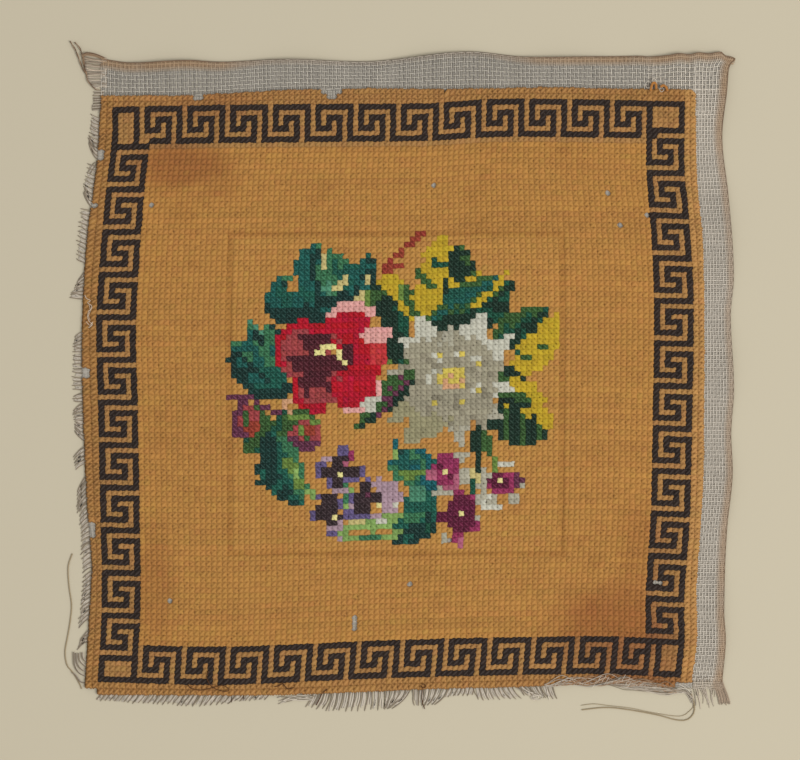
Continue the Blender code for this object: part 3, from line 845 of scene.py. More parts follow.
def sewAnemone():
    petal(45.6, 42.0, 5.2, 5.4, "crimson", rim="blush", rimToward=88, rimDeep=0.3, rimSpread=0.3)
    petal(48.4, 47.0, 3.5, 4.6, "crimson")
    petal(50.0, 43.4, 3.0, 1.9, "blush", turn=-12)
    petal(50.2, 47.0, 2.1, 2.1, "coral")
    petal(46.2, 53.2, 4.7, 4.9, "crimson", turn=24, rim="blush", rimToward=-46, rimDeep=0.22,
          rimSpread=0.35)
    petal(38.4, 52.6, 3.9, 5.2, "rose", rim="crimson", rimToward=222, rimDeep=0.3, rimSpread=-0.1)
    petal(36.8, 46.0, 5.2, 5.6, "rose", turn=6, rim="crimson", rimToward=136, rimDeep=0.3, rimSpread=0.0)
    petal(42.6, 42.0, 2.4, 2.3, "crimson")
    petal(43.8, 51.6, 1.9, 4.0, "crimson")
    petal(46.6, 47.4, 2.0, 3.8, "crimson")
    petal(40.0, 55.2, 2.6, 1.5, "rose")
    petal(39.0, 57.0, 2.4, 1.2, "crimson")
    petal(40.0, 48.8, 5.2, 2.0, "maroon", turn=2)
    blocks("maroon", (34, 47, 5))
    petal(39.4, 43.9, 3.4, 0.9, "maroon")
    petal(39.6, 45.6, 2.2, 1.3, "maroon")
    petal(38.6, 51.4, 2.6, 2.0, "maroon")
    petal(44.6, 47.0, 1.4, 2.2, "maroon")
    blocks("maroon", (37, 53, 1, 2), (40, 52, 2), (41, 53))
    blocks("stamen", (40, 45, 2), (39, 46, 2), (42, 45), (43, 46, 1, 2), (44, 48))
    blocks("rose", (36, 50), (38, 54), (42, 50), (43, 51), (42, 43), (43, 44))
    blocks("mustard", (49, 40, 2), (49, 41, 2), (50, 51, 2))
    blocks("white", (48, 55, 3), (47, 56, 3), (48, 57, 2))
    blocks("blush", (44, 38, 4))


def sewTopRightLeaves():
    steps("brickRed", (51, 32), (51, 30), (52, 29), (55, 26), (56, 25), (58, 24))
    steps("brickRed", (52, 30), (54, 30))
    blocks("brickRed", (52, 31))
    leaf((54.0, 37.4), (51.6, 31.6), 4.6, "yellow", full=0.6)
    leaf((56, 50), (49.2, 33.8), 8.6, "bottle moss mossSoft", bend=-1.4, full=0.6, ribs=4)
    leaf((52, 37.5), (54.2, 49.5), 6.2, "bottle bottle pine", full=0.35)
    leaf((57.6, 40.4), (54.6, 33.4), 3.9, "moss moss mossSoft")
    steps("yellow", (53, 36), (56, 40))
    leaf((60.4, 37.4), (62.2, 25.0), 7.0, "yellow", full=0.55, teeth=3, notch=0.16)
    leaf((66.4, 36.4), (64.6, 26.6), 5.0, "moss bottle bottle", full=0.5, ribs=3)
    leaf((58, 42.4), (74.6, 34.2), 10.4, "bottle pine moss", bend=1.0, full=0.6, ribs=4)
    petal(64.6, 36.4, 3.2, 1.8, "teal", turn=-10)
    petal(62.8, 38.8, 2.2, 1.0, "moss")
    steps("lagoon", (60, 40), (66, 36), (71, 34))
    steps("moss", (65, 39), (72, 35))
    steps("lagoon", (69, 34), (72, 33))
    leaf((59.4, 33.2), (59.0, 40.2), 5.6, "yellow", full=0.4)
    steps("pine", (60, 29), (61, 30), (62, 30))
    steps("moss", (57, 31), (57, 32), (58, 33), (60, 34))
    steps("bottle", (62, 33), (62, 35))
    blocks("yellow", (63, 34, 2), (66, 33, 2), (68, 32))
    steps("yellow", (67, 38), (68, 37), (70, 36), (73, 32))
    leaf((57, 42.8), (70.4, 40.2), 3.6, "bottle", bend=0.6)


def sewRightLeaves():
    leaf((70.6, 46.6), (81.4, 39.2), 6.8, "bottle pine moss", bend=-0.3, teeth=3, notch=0.25, ribs=3)
    leaf((74.0, 52.0), (83.0, 39.8), 6.8, "yellow", bend=1.2, teeth=3, notch=0.2)
    steps("moss", (76, 48), (77, 48))
    steps("moss", (79, 46), (80, 46))
    blocks("pine", (75, 47))
    leaf((70.6, 50.4), (77.6, 54.6), 4.6, "bottle moss mossSoft", shadeSide=-1)
    leaf((73.4, 53), (80.6, 56.6), 4.6, "yellow", teeth=2)
    leaf((73.4, 56.4), (82.0, 62.4), 6.8, "yellow", bend=-0.6, teeth=3)
    leaf((70.8, 55.2), (78.6, 57.2), 3.0, "bottle moss moss")
    steps("mossSoft", (77, 60), (78, 59))
    leaf((70, 57.4), (81.0, 63.6), 7.6, "bottle", bend=1.2, full=0.5, teeth=3)
    s, t = limb((70, 57.4), (81.0, 63.6), 1.2)
    stripe = (s > 0.1) & (s < 0.95) & (np.abs(t) < 2.6) & (columnOf % 3 == 1)
    sew(stripe & (chart == shadeNames.index("bottle")), "moss")
    blocks("bottle", (68, 58, 1, 11), (70, 59, 1, 3), (67, 62, 1, 4))
    blocks("moss", (69, 59, 1, 7), (70, 63, 1, 4))
    blocks("mossSoft", (71, 67, 1, 3))


def sewFleckedLeaf():
    leaf((57.0, 50.4), (46.4, 60.8), 5.8, "moss moss bottle", bend=0.4, teeth=4, notch=0.24)
    blocks("plum", (55, 52), (54, 53), (53, 54), (54, 51), (52, 55), (52, 56), (51, 57), (50, 58),
           (52, 53), (51, 55))


def sewAster():
    middle = (63.4, 52.4)
    petals = (  # tip, width, shade of the tip, how much of the petal it takes
        ((72.6, 59.8), 5.0, "silver", 0.2), ((70.4, 62.4), 3.4, "oatmeal", 0.2),
        ((65.6, 64.8), 4.6, "silver", 0.3), ((55.6, 64.4), 6.4, "oliveGrey", 0.5),
        ((60.2, 62.8), 4.6, "oliveGrey", 0.4), ((52.4, 59.4), 5.4, "oliveGrey", 0.35),
        ((51.2, 51.0), 5.2, "silver", 0.22), ((52.6, 55.2), 4.6, "oliveGrey", 0.25),
        ((54.4, 44.0), 5.2, "white", 0.2), ((57.6, 40.2), 5.4, "white", 0.34),
        ((63.6, 42.0), 5.2, "silver", 0.34), ((69.6, 39.6), 6.0, "white", 0.40),
        ((74.6, 44.6), 5.4, "white", 0.36), ((74.8, 54.6), 4.6, "white", 0.30),
        ((73.2, 49.8), 4.2, "oatmeal", 0.2),
    )
    for tip, width, end, share in petals:
        s, t = limb(middle, tip)
        rise = np.sin(np.pi / 2 * np.clip(s / 0.6, 0, 1)) ** 0.6
        half = width / 2 * np.minimum(rise, np.clip((1.02 - s) / 0.42, 0, 1) ** 0.75)
        inside = (s >= 0) & (s <= 1) & (np.abs(t) <= half)
        sew(inside, "oatmeal")
        sew(inside & (t > half - 0.9), "oatmealShade")
        sew(inside & (s > 1 - share + 0.05 * np.sin(t * 4)), end)
    petal(*middle, 6.2, 5.6, "oatmeal")
    for order in range(7):
        a = 2 * math.pi * order / 7 + 0.4
        steps("oatmealShade", *((middle[0] - 0.5 + x * math.cos(a), middle[1] - 0.5 + y * math.sin(a))
                                for x, y in ((3.6, 3.4), (6.8, 6.4))))
    blocks("white", (60, 47, 2), (61, 48), (67, 48, 2), (59, 51, 1, 2), (60, 50), (68, 53),
           (67, 54), (64, 47))
    blocks("gold", (61, 47), (65, 47), (68, 49), (68, 54), (60, 56), (65, 56))
    petal(63.8, 52.0, 2.7, 2.3, "gold")
    blocks("shellPink", (62, 53), (63, 53), (64, 53), (62, 52), (65, 52), (63, 51))


def sewBuds():
    steps("plum", (23, 54), (27, 54), (29, 56), (32, 57))
    steps("plum", (25, 55), (28, 56))
    leaf((31, 65.5), (26.6, 55.6), 6.4, "moss moss pine")
    leaf((30.5, 58), (26.5, 65.2), 3.0, "moss")
    petal(26.4, 59.2, 2.9, 3.1, "rose", rim="plum", rimToward=190, rimDeep=0.5, rimSpread=0.1)
    petal(27.6, 60.3, 1.4, 1.5, "brickRed")
    blocks("moss", (26, 57, 1, 3))
    blocks("plum", (25, 60, 1, 2))
    steps("plum", (31, 57), (32, 58))
    leaf((33.2, 66), (34.4, 56.8), 5.6, "moss moss pine")
    leaf((33.4, 58.4), (40.6, 60.2), 4.4, "moss mossSoft moss")
    petal(37.2, 62.1, 3.2, 2.7, "rose", rim="plum", rimToward=265, rimDeep=0.5)
    petal(37.8, 61.2, 1.6, 1.0, "brickRed")
    blocks("mossSoft", (36, 60, 1, 2))
    blocks("moss", (37, 62))
    blocks("shellPink", (33, 55), (34, 55), (33, 56), (34, 57))


def sewLowerLeftLeaf():
    leaf((31.5, 61.4), (36.8, 75.2), 9.6, "tealDeep teal fern", bend=1.4, teeth=4, notch=0.18, ribs=4)
    petal(30.6, 65, 1.7, 4.0, "tealDeep")
    steps("leafLight", (34, 67), (35, 69), (37, 72), (38, 73))
    petal(34.2, 67.2, 1.5, 1.4, "mossSoft")
    petal(36.0, 71.0, 1.1, 1.0, "mossSoft")


# A small pansy: violet ends, near-black arms and a cream eye, each part a few stitches.
def pansy(c, r, violet, black):
    for dc, dr, wide, high, shade in violet:
        blocks(shade, (c + dc, r + dr, wide, high))
    blocks("pansyBlack", *((c + dc, r + dr, wide, high) for dc, dr, wide, high in black))
    blocks("stamen", (c, r))


def sewPansies():
    leaf((46.6, 79.4), (44.2, 70.2), 3.4, "leafLight fern leafLight")
    blocks("celery", (44, 72))
    blocks("moss", (45, 73, 1, 2))
    petal(52.2, 74.0, 2.6, 3.0, "lavender")
    petal(50.6, 71.6, 1.4, 1.2, "lavender")
    petal(46.4, 77.0, 1.6, 1.2, "lavender", turn=-20)
    petal(43.2, 80.0, 1.2, 1.6, "lavender")
    for points in (((44, 79), (50, 77), (53, 78)), ((43, 80), (45, 81), (52, 81), (54, 80)),
                   ((47, 77), (49, 78), (49, 80)), ((45, 79), (52, 79)), ((51, 77), (54, 77))):
        steps("leafLight", *points)
    steps("fern", (47, 81), (50, 81))
    steps("celery", (45, 78), (47, 78))
    pansy(43, 69,
          ((0, -5, 2, 2, "violet"), (-3, -3, 2, 1, "lavender"), (-4, -2, 2, 3, "violet"),
           (2, -4, 1, 2, "magenta"), (4, -1, 1, 2, "violet"), (-2, 1, 1, 2, "violet"),
           (-1, 3, 3, 1, "lavender"), (1, 1, 3, 1, "violet")),
          ((-3, -1, 7, 2), (-1, -3, 3, 2), (-1, 1, 2, 2)))
    pansy(50, 75,
          ((-2, -5, 1, 1, "violet"), (1, -3, 1, 3, "lavender"), (-5, -2, 1, 2, "violet"),
           (-5, 0, 1, 2, "lavender"), (-4, 2, 3, 1, "violet"), (-1, 2, 2, 1, "lavender")),
          ((-3, -4, 2, 2), (-4, -2, 5, 2), (-4, 0, 3, 2), (-1, -1, 1, 1)))
    pansy(42, 77,
          ((-3, -4, 1, 1, "violet"), (-4, -1, 1, 2, "violet"), (1, -3, 1, 2, "violet"),
           (2, -1, 2, 2, "violet"), (-1, 2, 3, 1, "lavender"), (-1, 3, 2, 1, "violet"),
           (0, -4, 1, 1, "lavender")),
          ((-2, -4, 3, 2), (-3, -2, 4, 2), (-3, 0, 3, 1), (-1, 0, 3, 1), (-1, 1, 2, 1)))
    blocks("pinkPale", (44, 67))
    blocks("plum", (48, 73))
    blocks("white", (53, 75), (50, 78, 2))


def sewPeacockLeaves():
    leaf((61, 68.2), (52.4, 65.8), 3.8, "tealDeep peacock tealSoft")
    leaf((61.8, 69.6), (51.8, 67.6), 8.6, "peacock lagoon fern", bend=-0.3, teeth=3, ribs=4)
    steps("peacock", (53, 63), (53, 65))
    petal(56.4, 69.6, 2.2, 1.0, "mossSoft")
    blocks("mossSoft", (54, 67))
    blocks("leafLight", (53, 65, 1, 2))
    leaf((58.4, 71), (58, 80), 6.2, "teal teal lagoon", full=0.5, ribs=4)
    leaf((60.4, 74.6), (52.6, 82.4), 8.2, "tealDeep teal teal", bend=-1.2, shadeSide=-1, teeth=3, ribs=3)
    petal(56.0, 67.0, 2.6, 1.2, "lagoon")
    petal(59.8, 71.4, 2.2, 1.3, "peacock")
    steps("fern", (56, 65), (58, 68))
    petal(57.6, 73.4, 1.7, 1.5, "tealSoft")
    petal(56.4, 77.8, 2.4, 1.0, "fern")
    petal(57.8, 80.6, 3.6, 1.7, "tealDeep", turn=-14)
    blocks("pine", (59, 79, 1, 2))
    steps("teal", (55, 81), (56, 81))


# Blunt petals in two shades round a dark heart and a cream eye, each part a few stitches.
def magentaFlower(c, r, edge, middle):
    for parts, shade in ((edge, "magenta"), (middle, "wine")):
        for dc, dr, wide, high, *other in parts:
            blocks(other[0] if other else shade, (c + dc, r + dr, wide, high))
    blocks("stamen", (c, r))


def sewSmallFlowers():
    petal(73.6, 68.6, 1.6, 0.9, "white")
    for c, r, wide, high in ((65.6, 66.6, 1.4, 1.1), (66.0, 70.4, 1.1, 1.8), (62.2, 73.2, 2.2, 0.9),
                             (69.6, 71.6, 1.5, 2.3), (70.0, 75.2, 2.4, 1.4), (74.6, 75.0, 1.1, 0.9),
                             (76.6, 71.6, 0.7, 1.1), (62.6, 82.0, 0.8, 0.8), (68.6, 79.0, 0.7, 0.9)):
        petal(c, r, wide, high, "silver")
    petal(68.0, 70.4, 0.9, 1.7, "celery")
    steps("white", (69, 76), (72, 76))
    steps("white", (70, 74), (69, 75))
    blocks("pine", (67, 71, 1, 3))
    blocks("bottle", (68, 66, 1, 4))
    magentaFlower(62, 69,
                  ((-1, -3, 3, 2), (-2, -1, 5, 3), (-3, 0, 2, 2, "pinkPale"), (2, -2, 1, 3),
                   (-1, 2, 4, 1), (0, 3, 3, 1, "pinkPale"), (2, 1, 1, 2, "pinkPale")),
                  ((-1, -1, 1, 1), (1, 1, 1, 1)))
    magentaFlower(65, 77,
                  ((-1, -4, 2, 2), (2, -3, 1, 3), (2, 2, 2, 2), (-1, 4, 2, 2), (0, 5, 1, 2, "pinkPale")),
                  ((-1, -3, 3, 7), (-2, -2, 5, 5), (-4, 0, 2, 2), (-1, 2, 3, 2)))
    magentaFlower(72, 71,
                  ((-1, -1, 4, 1), (-2, 0, 5, 2), (3, -1, 1, 3, "plum"), (-1, 2, 4, 1),
                   (4, 0, 1, 1, "plum")),
                  ((-1, -1, 2, 1), (-1, 0, 3, 2), (-2, 0, 1, 1)))


lostStitches = (  # middle x, middle y, width, height: where the wool has gone and canvas shows
    (-93.0, 139.8, 6.0, 3.6), (-30.2, 142.4, 9.8, 4.6), (-30.2, 139.8, 6.0, 2.2),
    (-140.6, 113.0, 3.2, 5.4), (-142.6, 87.9, 3.0, 3.6), (-147.4, 7.4, 3.6, 5.2),
    (-144.8, -66.0, 3.0, 7.0), (137.2, -140.0, 9.0, 2.2), (19.1, 97.7, 2.4, 2.4),
    (101.5, 95.3, 2.4, 2.4), (107.7, 79.1, 2.4, 2.4), (120.1, 84.8, 2.4, 2.4),
    (-108.2, -101.0, 2.4, 2.4), (-20.5, -111.0, 2.4, 6.0), (8.1, -95.0, 2.4, 6.0),
    (24.8, -71.0, 2.2, 2.2), (89.1, -41.0, 2.4, 2.4), (125.3, -92.0, 6.0, 2.6),
    (-116.3, 87.7, 2.2, 2.2),
)


def sewChart():
    marks = sewKeys()
    for sewPart in (sewTopLeftLeaves, sewLeftLeaf, sewTopRightLeaves, sewRightLeaves, sewAster,
                    sewFleckedLeaf, sewAnemone, sewBuds, sewLowerLeftLeaf, sewPeacockLeaves, sewPansies,
                    sewSmallFlowers):
        sewPart()
    for x, y, wide, high in lostStitches:
        gone = (np.abs(middleX - x) < wide / 2) & (np.abs(middleY - y) < high / 2)
        chart[gone] = 0
    chart[~stitched] = 0
    return marks


keyMarks = sewChart()
print("chart drawn:", int((chart > 0).sum()), "stitches")


stitch = {
    "hole": 1.46,  # height at which a strand goes down into the canvas
    "underCrest": 2.02,
    "overCrest": 2.34,
    "halfWidths": (0.62, 0.80, 0.84, 0.80, 0.62),
    "edgeDrop": (0.10, 0.28, 0.36, 0.28, 0.10),
    "keyFuller": 0.10,
    "shiver": 0.11,  # how far holes and crests stray
}
cornerC, cornerR = np.meshgrid(np.arange(columnCount + 1) + firstColumn,
                               np.arange(rowCount + 1) + firstRow)
holeX, holeY = clothPoint(cornerC, cornerR)
holeX = holeX + rng.normal(0, stitch["shiver"], holeX.shape)
holeY = holeY + rng.normal(0, stitch["shiver"], holeY.shape)
holeX[1, -1] -= 1.1  # the top right corner stitch is rounded
holeY[1, -1] -= 1.0


# Tone of each stitch: its own, and that of the length of wool it was worked with.
def rowTones():
    tones = rng.normal(0, 0.6, chart.shape)
    warms = rng.normal(0, 0.8, chart.shape)
    for row in range(chart.shape[0]):
        at = 0
        while at < chart.shape[1]:
            run = int(rng.integers(14, 46))
            tones[row, at:at + run] += rng.normal(0, 0.55)
            warms[row, at:at + run] += rng.normal(0, 0.5)
            at += run
    return tones, warms


toneOf, warmOf = rowTones()


# Points, quads and uvs of one strand across each of the given stitches.
def strands(rows, columns, slant, crest, fuller=0.0):
    if slant == "up":  # from bottom left to top right
        startX, startY = holeX[rows + 1, columns], holeY[rows + 1, columns]
        endX, endY = holeX[rows, columns + 1], holeY[rows, columns + 1]
    else:
        startX, startY = holeX[rows, columns], holeY[rows, columns]
        endX, endY = holeX[rows + 1, columns + 1], holeY[rows + 1, columns + 1]
    count = len(rows)
    run = np.stack([endX - startX, endY - startY], axis=1)
    length = np.linalg.norm(run, axis=1)
    across = np.stack([-run[:, 1], run[:, 0]], axis=1) / length[:, None]
    places = np.array([0.0, 0.2, 0.5, 0.8, 1.0])
    spots = np.array([-1.0, -0.42, 0.42, 1.0])
    wide = np.array(stitch["halfWidths"])[None] * (length / 3.6)[:, None]
    wide = wide * (1 + 2.5 * fuller + rng.normal(0, 0.07, (count, 1)))
    height = np.array([stitch["hole"], 0.66 * crest + 0.34 * stitch["hole"], crest,
                       0.66 * crest + 0.34 * stitch["hole"], stitch["hole"]])[None]
    height = height + rng.normal(0, 0.05, (count, 1)) * np.array([0, 0.7, 1, 0.7, 0])[None]
    sway = rng.normal(0, 0.07, (count, 1)) * np.array([0, 0.7, 1, 0.7, 0])[None]
    reachAlong = places + fuller * (2 * places - 1)
    middle = np.stack([startX, startY], axis=1)[:, None] + run[:, None] * reachAlong[None, :, None]
    flat = middle[:, :, None] + across[:, None, None] * (
        (wide[:, :, None] * spots[None, None] + sway[:, :, None])[..., None])
    drop = np.array(stitch["edgeDrop"])[None, :, None] * (np.abs(spots) > 0.9)[None, None]
    z = height[:, :, None] - drop
    z = z - crease(flat[..., 0], flat[..., 1])
    points = np.concatenate([flat, z[..., None]], axis=-1).reshape(-1, 3)
    reach = 1.0 if crest == stitch["overCrest"] else 0.8  # the lower strand takes less painted shade at its ends
    uv = np.stack(np.broadcast_arrays(np.broadcast_to(reach * (2 * places - 1), (count, 5))[:, :, None],
                                      spots[None, None]), axis=-1).reshape(-1, 2)
    quads = (np.arange(count)[:, None, None] * 20 + gridQuads(5, 4, (1, 0, 3, 2))).reshape(-1, 4)
    return points, quads, uv


# The short upright strands that show on the back, two points wide by three long.
def backs(rows, columns):
    count = len(rows)
    x = holeX[rows, columns] * 0.5 + holeX[rows + 1, columns] * 0.5
    high, low = holeY[rows, columns], holeY[rows + 1, columns]
    t = np.array([0.0, 0.5, 1.0])
    a = np.array([-1.0, 0.0, 1.0])
    px = x[:, None, None] + a[None, None] * np.array([0.5, 0.8, 0.5])[None, :, None]
    py = (high[:, None] * (1 - t) + low[:, None] * t)[:, :, None] + 0 * px
    pz = np.array([0.55, 0.12, 0.55])[None, :, None] + np.abs(a)[None, None] * 0.2 + 0 * px
    points = np.stack([px, py, pz], axis=-1).reshape(-1, 3)
    uv = np.stack(np.broadcast_arrays(2 * t[None, :, None] - 1, a[None, None], px)[:2],
                  axis=-1).reshape(-1, 2)
    quads = (np.arange(count)[:, None, None] * 9 + gridQuads(3, 3)).reshape(-1, 4)
    return points, quads, uv


# One piece of all the cross stitches at the chosen places; over is the slant of the top strand.
def stitchPiece(name, chosen, over="up", fuller=0.0):
    rows, columns = np.nonzero(chosen & (chart > 0))
    used, kinds = np.unique(chart[rows, columns], return_inverse=True)
    parts = (strands(rows, columns, "down" if over == "up" else "up", stitch["underCrest"], fuller),
             strands(rows, columns, over, stitch["overCrest"], fuller), backs(rows, columns))

    def spread(value, k):  # from one for each stitch to one for each point, or each quad, of it
        return np.concatenate([np.repeat(value, len(part[k]) // len(rows)) for part in parts])

    values = {"tone": spread(toneOf[rows, columns], 0), "warm": spread(warmOf[rows, columns], 0)}
    print(name, "worked:", len(rows), "stitches")
    return meshOf(name, *joined(parts), values, spread(kinds, 1),
                  [woolFinishes[shadeNames[s]] for s in used], "wool")


def rowsBetween(top, bottom):
    return (rowOf >= top) & (rowOf < bottom)


def makeStitches():
    mustard = np.isin(chart, groundShades)
    worked = ~mustard & ~keyMarks
    pieces = [stitchPiece("wool_key_border", keyMarks, fuller=stitch["keyFuller"])]
    # in bands of rows, so that no piece is too heavy
    for part, top, bottom in (("top", -3, 33), ("middle", 33, 73), ("bottom", 73, 110)):
        pieces.append(stitchPiece("wool_ground_" + part, mustard & rowsBetween(top, bottom)))
    pieces.append(stitchPiece("wool_wreath_upper", worked & rowsBetween(0, 57), "down"))
    pieces.append(stitchPiece("wool_wreath_lower", worked & rowsBetween(57, 108), "down"))
    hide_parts("wool_field")
    return pieces


woolPieces = makeStitches()


canvasLook = {
    "threadsPerColumn": 2.6,  # every other one paler
    "threadsPerRow": 2.7,
    "paleTone": (1.8, 5.6),  # of the right margin and of the greyer top one
    # the dark threads are real threads, made darker and, in the top margin, wider to fill the gaps:
    # painted shade
    "shadedTone": (-1.8, -3.2),
    "threadWide": (0.29, 0.20),  # of the pale threads; the dark ones are wider in the top margin
    "shadedWide": (0.29, 0.60),
    "cornerPale": 1.8,
    "threadThick": 0.25,
    "weave": 0.22,  # how far threads go over and under
    "middle": 0.52,
    "threadsTop": 17,
    "threadsRight": 19,
    "hemTop": ((-150, 3.8), (-85, 3.6), (-60, 2.2), (40, 2.0), (70, 3.2), (170, 3.6)),
    "hemRight": ((-140, 3.4), (-60, 3.0), (20, 2.6), (120, 3.2), (160, 3.6)),
    "brownTop": ((-150, 1.0), (-85, 0.95), (-60, 0.35), (40, 0.25), (75, 0.85), (170, 1.0)),
    "brownRight": ((-140, 0.9), (-40, 0.72), (10, 0.55), (60, 0.5), (90, 0.6), (125, 0.85), (160, 1.0)),
}


# A flat grid of canvas, dark with wool fluff where it is stitched, darker under key and flowers as
# painted shade.
def canvasUnderWool():
    points = np.stack([holeX, holeY, np.full(holeX.shape, 1.0)], axis=-1)
    points[..., 2] -= 0.6 * crease(points[..., 0], points[..., 1])
    index = np.arange(holeX.size).reshape(holeX.shape)
    rows, columns = np.nonzero(stitched)
    quads = np.stack([index[rows + 1, columns], index[rows + 1, columns + 1],
                      index[rows, columns + 1], index[rows, columns]], axis=1)
    ground = np.isin(chart, groundShades)
    # under the key and the flowers the sheet is darker: wool fluff, and painted shade in the gaps between
    # stitches
    kinds = np.where(chart[rows, columns] == 0, 1, np.where(ground[rows, columns], 0, 2))
    used, again = np.unique(quads, return_inverse=True)
    flat = points.reshape(-1, 3)[used]
    values = {"tone": np.zeros(len(flat)), "brown": np.zeros(len(flat))}
    return meshOf("canvas_under_wool", flat, again.reshape(-1, 4), flat[:, :2], values, kinds,
                  [linenFinishes[name] for name in ("underWool", "marginGrey", "underFluffShade")],
                  "linen_canvas")


# How brown the canvas is: most at its outer edges, and towards the corners.
def brownAt(x, y):
    brown = 0.0
    for side, place, out in (("Top", x, y), ("Right", y, x)):
        inside = along(cloth["canvas" + side], place) - out
        share = np.clip(1.9 - 1.3 * inside / along(canvasLook["hem" + side], place), 0, 1)
        brown = np.maximum(brown, share * along(canvasLook["brown" + side], place))
    return brown


# Where the threads of a margin run, counted outwards from the wool, at a place along it.
def marginLine(side, order, place):
    low, high = along(cloth["wool" + side], place) + 0.3, along(cloth["canvas" + side], place) - 0.5
    return low + (high - low) * order / (canvasLook["threads" + side] - 1)


# Over and under by twos, each pair of threads the other way from the last.
def turns(count, order, first):
    return np.where((np.arange(count) // 2 + order // 2) % 2, first, -first)


# The over-and-under threads of the two bare margins.
def marginThreads():
    threads = []
    halfColumns = np.arange(-2, 109.01, 1 / canvasLook["threadsPerColumn"])
    halfRows = np.arange(-2, 109.01, 1 / canvasLook["threadsPerRow"])
    uprightX, _ = clothPoint(halfColumns, np.full(halfColumns.shape, -2.0))
    _, levelY = clothPoint(np.full(halfRows.shape, 109.0), halfRows)
    levelY = levelY[levelY > -138.4]
    topCount, rightCount = canvasLook["threadsTop"], canvasLook["threadsRight"]

    def add(x, y, turn, pale, spread=0.5):
        x, y = np.asarray(x, float), np.asarray(y, float)
        brown = brownAt(x, y)
        weave = canvasLook["weave"] * turn * (1.0 if pale else 0.35) * (1 - 0.6 * brown)
        z = canvasLook["middle"] + weave + (0.10 if pale else -0.12) * (1 - brown) + lift(x, y)
        grey = int(np.mean(y) > 142 and np.mean(x) < 120)
        # a dark thread lies lower and carries painted shade for the gaps between the pale ones
        tone = canvasLook["paleTone" if pale else "shadedTone"][grey] + rng.normal(0, spread)
        if pale:
            tone = tone + canvasLook["cornerPale"] * np.clip((y - 90) / 45, 0, 1) * (x > 100)
        wide = canvasLook["threadWide" if pale else "shadedWide"][grey] * rng.uniform(0.9, 1.1)
        threads.append(thread(x, y, z, wide, tone * np.clip(1 - 1.2 * brown, 0, 1) - 0.5 * brown,
                              thick=canvasLook["threadThick"], kind=grey, brown=brown))

    # Level threads of the top margin run on over the right one
    for j in range(topCount):
        corner = marginLine("Right", np.arange(rightCount), float(marginLine("Top", j, 150.0)))
        x = np.concatenate([uprightX, corner])
        y = marginLine("Top", j, x) + rng.normal(0, 0.05, len(x))
        add(x, y, turns(len(x), j, 1.0), j % 2 == 0)
    # Short upright threads of the top margin
    for m, x in enumerate(uprightX):
        y = np.append(along(cloth["woolTop"], x) - 1.6, marginLine("Top", np.arange(topCount), x))
        xs = x + rng.normal(0, 0.04, len(y)) + (y - y[0]) * rng.normal(0, 0.006)
        add(xs, y, np.append(0, turns(topCount, m, -1.0)), m % 2 == 0, 0.8)
    # Upright threads of the right margin run up through the corner
    for i in range(rightCount):
        corner = np.full(topCount, 150.0)
        for _ in range(3):  # where this thread meets each level one
            corner = marginLine("Top", np.arange(topCount), marginLine("Right", i, corner))
        y = np.concatenate([corner[::-1], levelY])
        x = marginLine("Right", i, y) + rng.normal(0, 0.05, len(y))
        add(x, y, turns(len(y), i, -1.0), i % 2 == 0)
    # Short level threads of the right margin
    for m, y in enumerate(levelY):
        x = np.append(along(cloth["woolRight"], y) - 1.6, marginLine("Right", np.arange(rightCount), y))
        ys = y + rng.normal(0, 0.04, len(x)) + (x - x[0]) * rng.normal(0, 0.006)
        add(x, ys, np.append(0, turns(rightCount, m, 1.0)), m % 2 == 0, 0.8)
    return threads


# Crossing canvas threads in the places where stitches have gone.
def barePatches():
    threads = []
    across = np.array([-0.1, 0.35, 0.7, 1.1])
    for row, column in zip(*np.nonzero(stitched & (chart == 0))):
        c, r = column + firstColumn, row + firstRow
        grey = 2.2 if r < 0 else 0.0  # as grey as the margin beside it
        for part in (0.2, 0.7):
            x, y = clothPoint(np.full(4, c + part), r + across)
            threads.append(thread(x, y, (0.8, 1.02, 0.84, 1.02), 0.27, rng.normal(-1.6, 1.4) - grey,
                                  thick=0.22, kind=1))
            x, y = clothPoint(c + across, np.full(4, r + part))
            threads.append(thread(x, y, (1.02, 0.86, 1.04, 0.84), 0.27, rng.normal(-0.8, 1.4) - grey,
                                  thick=0.22, kind=1))
    return threads


# The outer edge, turned over on itself in a narrow hem.
def turnedEdge():
    topX = np.linspace(-140.0, 161.9, 280)
    rightY = np.linspace(158.0, -138.6, 280)
    edge = np.concatenate([
        np.stack([topX, along(cloth["canvasTop"], topX)], axis=1),
        np.stack([along(cloth["canvasRight"], rightY), rightY], axis=1),
    ])
    ahead = unit(np.gradient(edge, axis=0))
    inward = np.stack([ahead[:, 1], -ahead[:, 0]], axis=1)
    wide = np.concatenate([along(canvasLook["hemTop"], topX), along(canvasLook["hemRight"], rightY)])
    wide = wide + 0.25 * np.sin(np.arange(len(edge)) * 0.9) + rng.normal(0, 0.12, len(edge))
    profile = ((1.0, 0.32), (0.5, 0.44), (0.1, 0.44), (0.0, 0.5), (0.03, 0.9), (0.08, 1.0),
               (0.13, 0.8), (0.14, 0.5))  # share of the hem's width, height
    rows = []
    for share, z in profile:
        flat = edge + inward * (wide * share)[:, None]
        rows.append(np.concatenate([flat, (z + lift(flat[:, 0], flat[:, 1]))[:, None]], axis=1))
    points = np.stack(rows, axis=1).reshape(-1, 3)
    quads = gridQuads(len(edge), len(profile), (0, 3, 2, 1))
    place, row = np.divmod(np.arange(len(points)), len(profile))
    tones = np.where(row > 2, -3.6, -0.4)  # painted shade, darkest along the fold
    tones = tones + 1.3 * (place >= len(topX)) * (points[:, 1] < 120)
    values = {"tone": tones, "brown": brownAt(points[:, 0], points[:, 1])}
    return meshOf("canvas_hem", points, quads, points[:, :2], values,
                  np.zeros(len(quads)), [linenFinishes["hem"]], "linen_canvas")


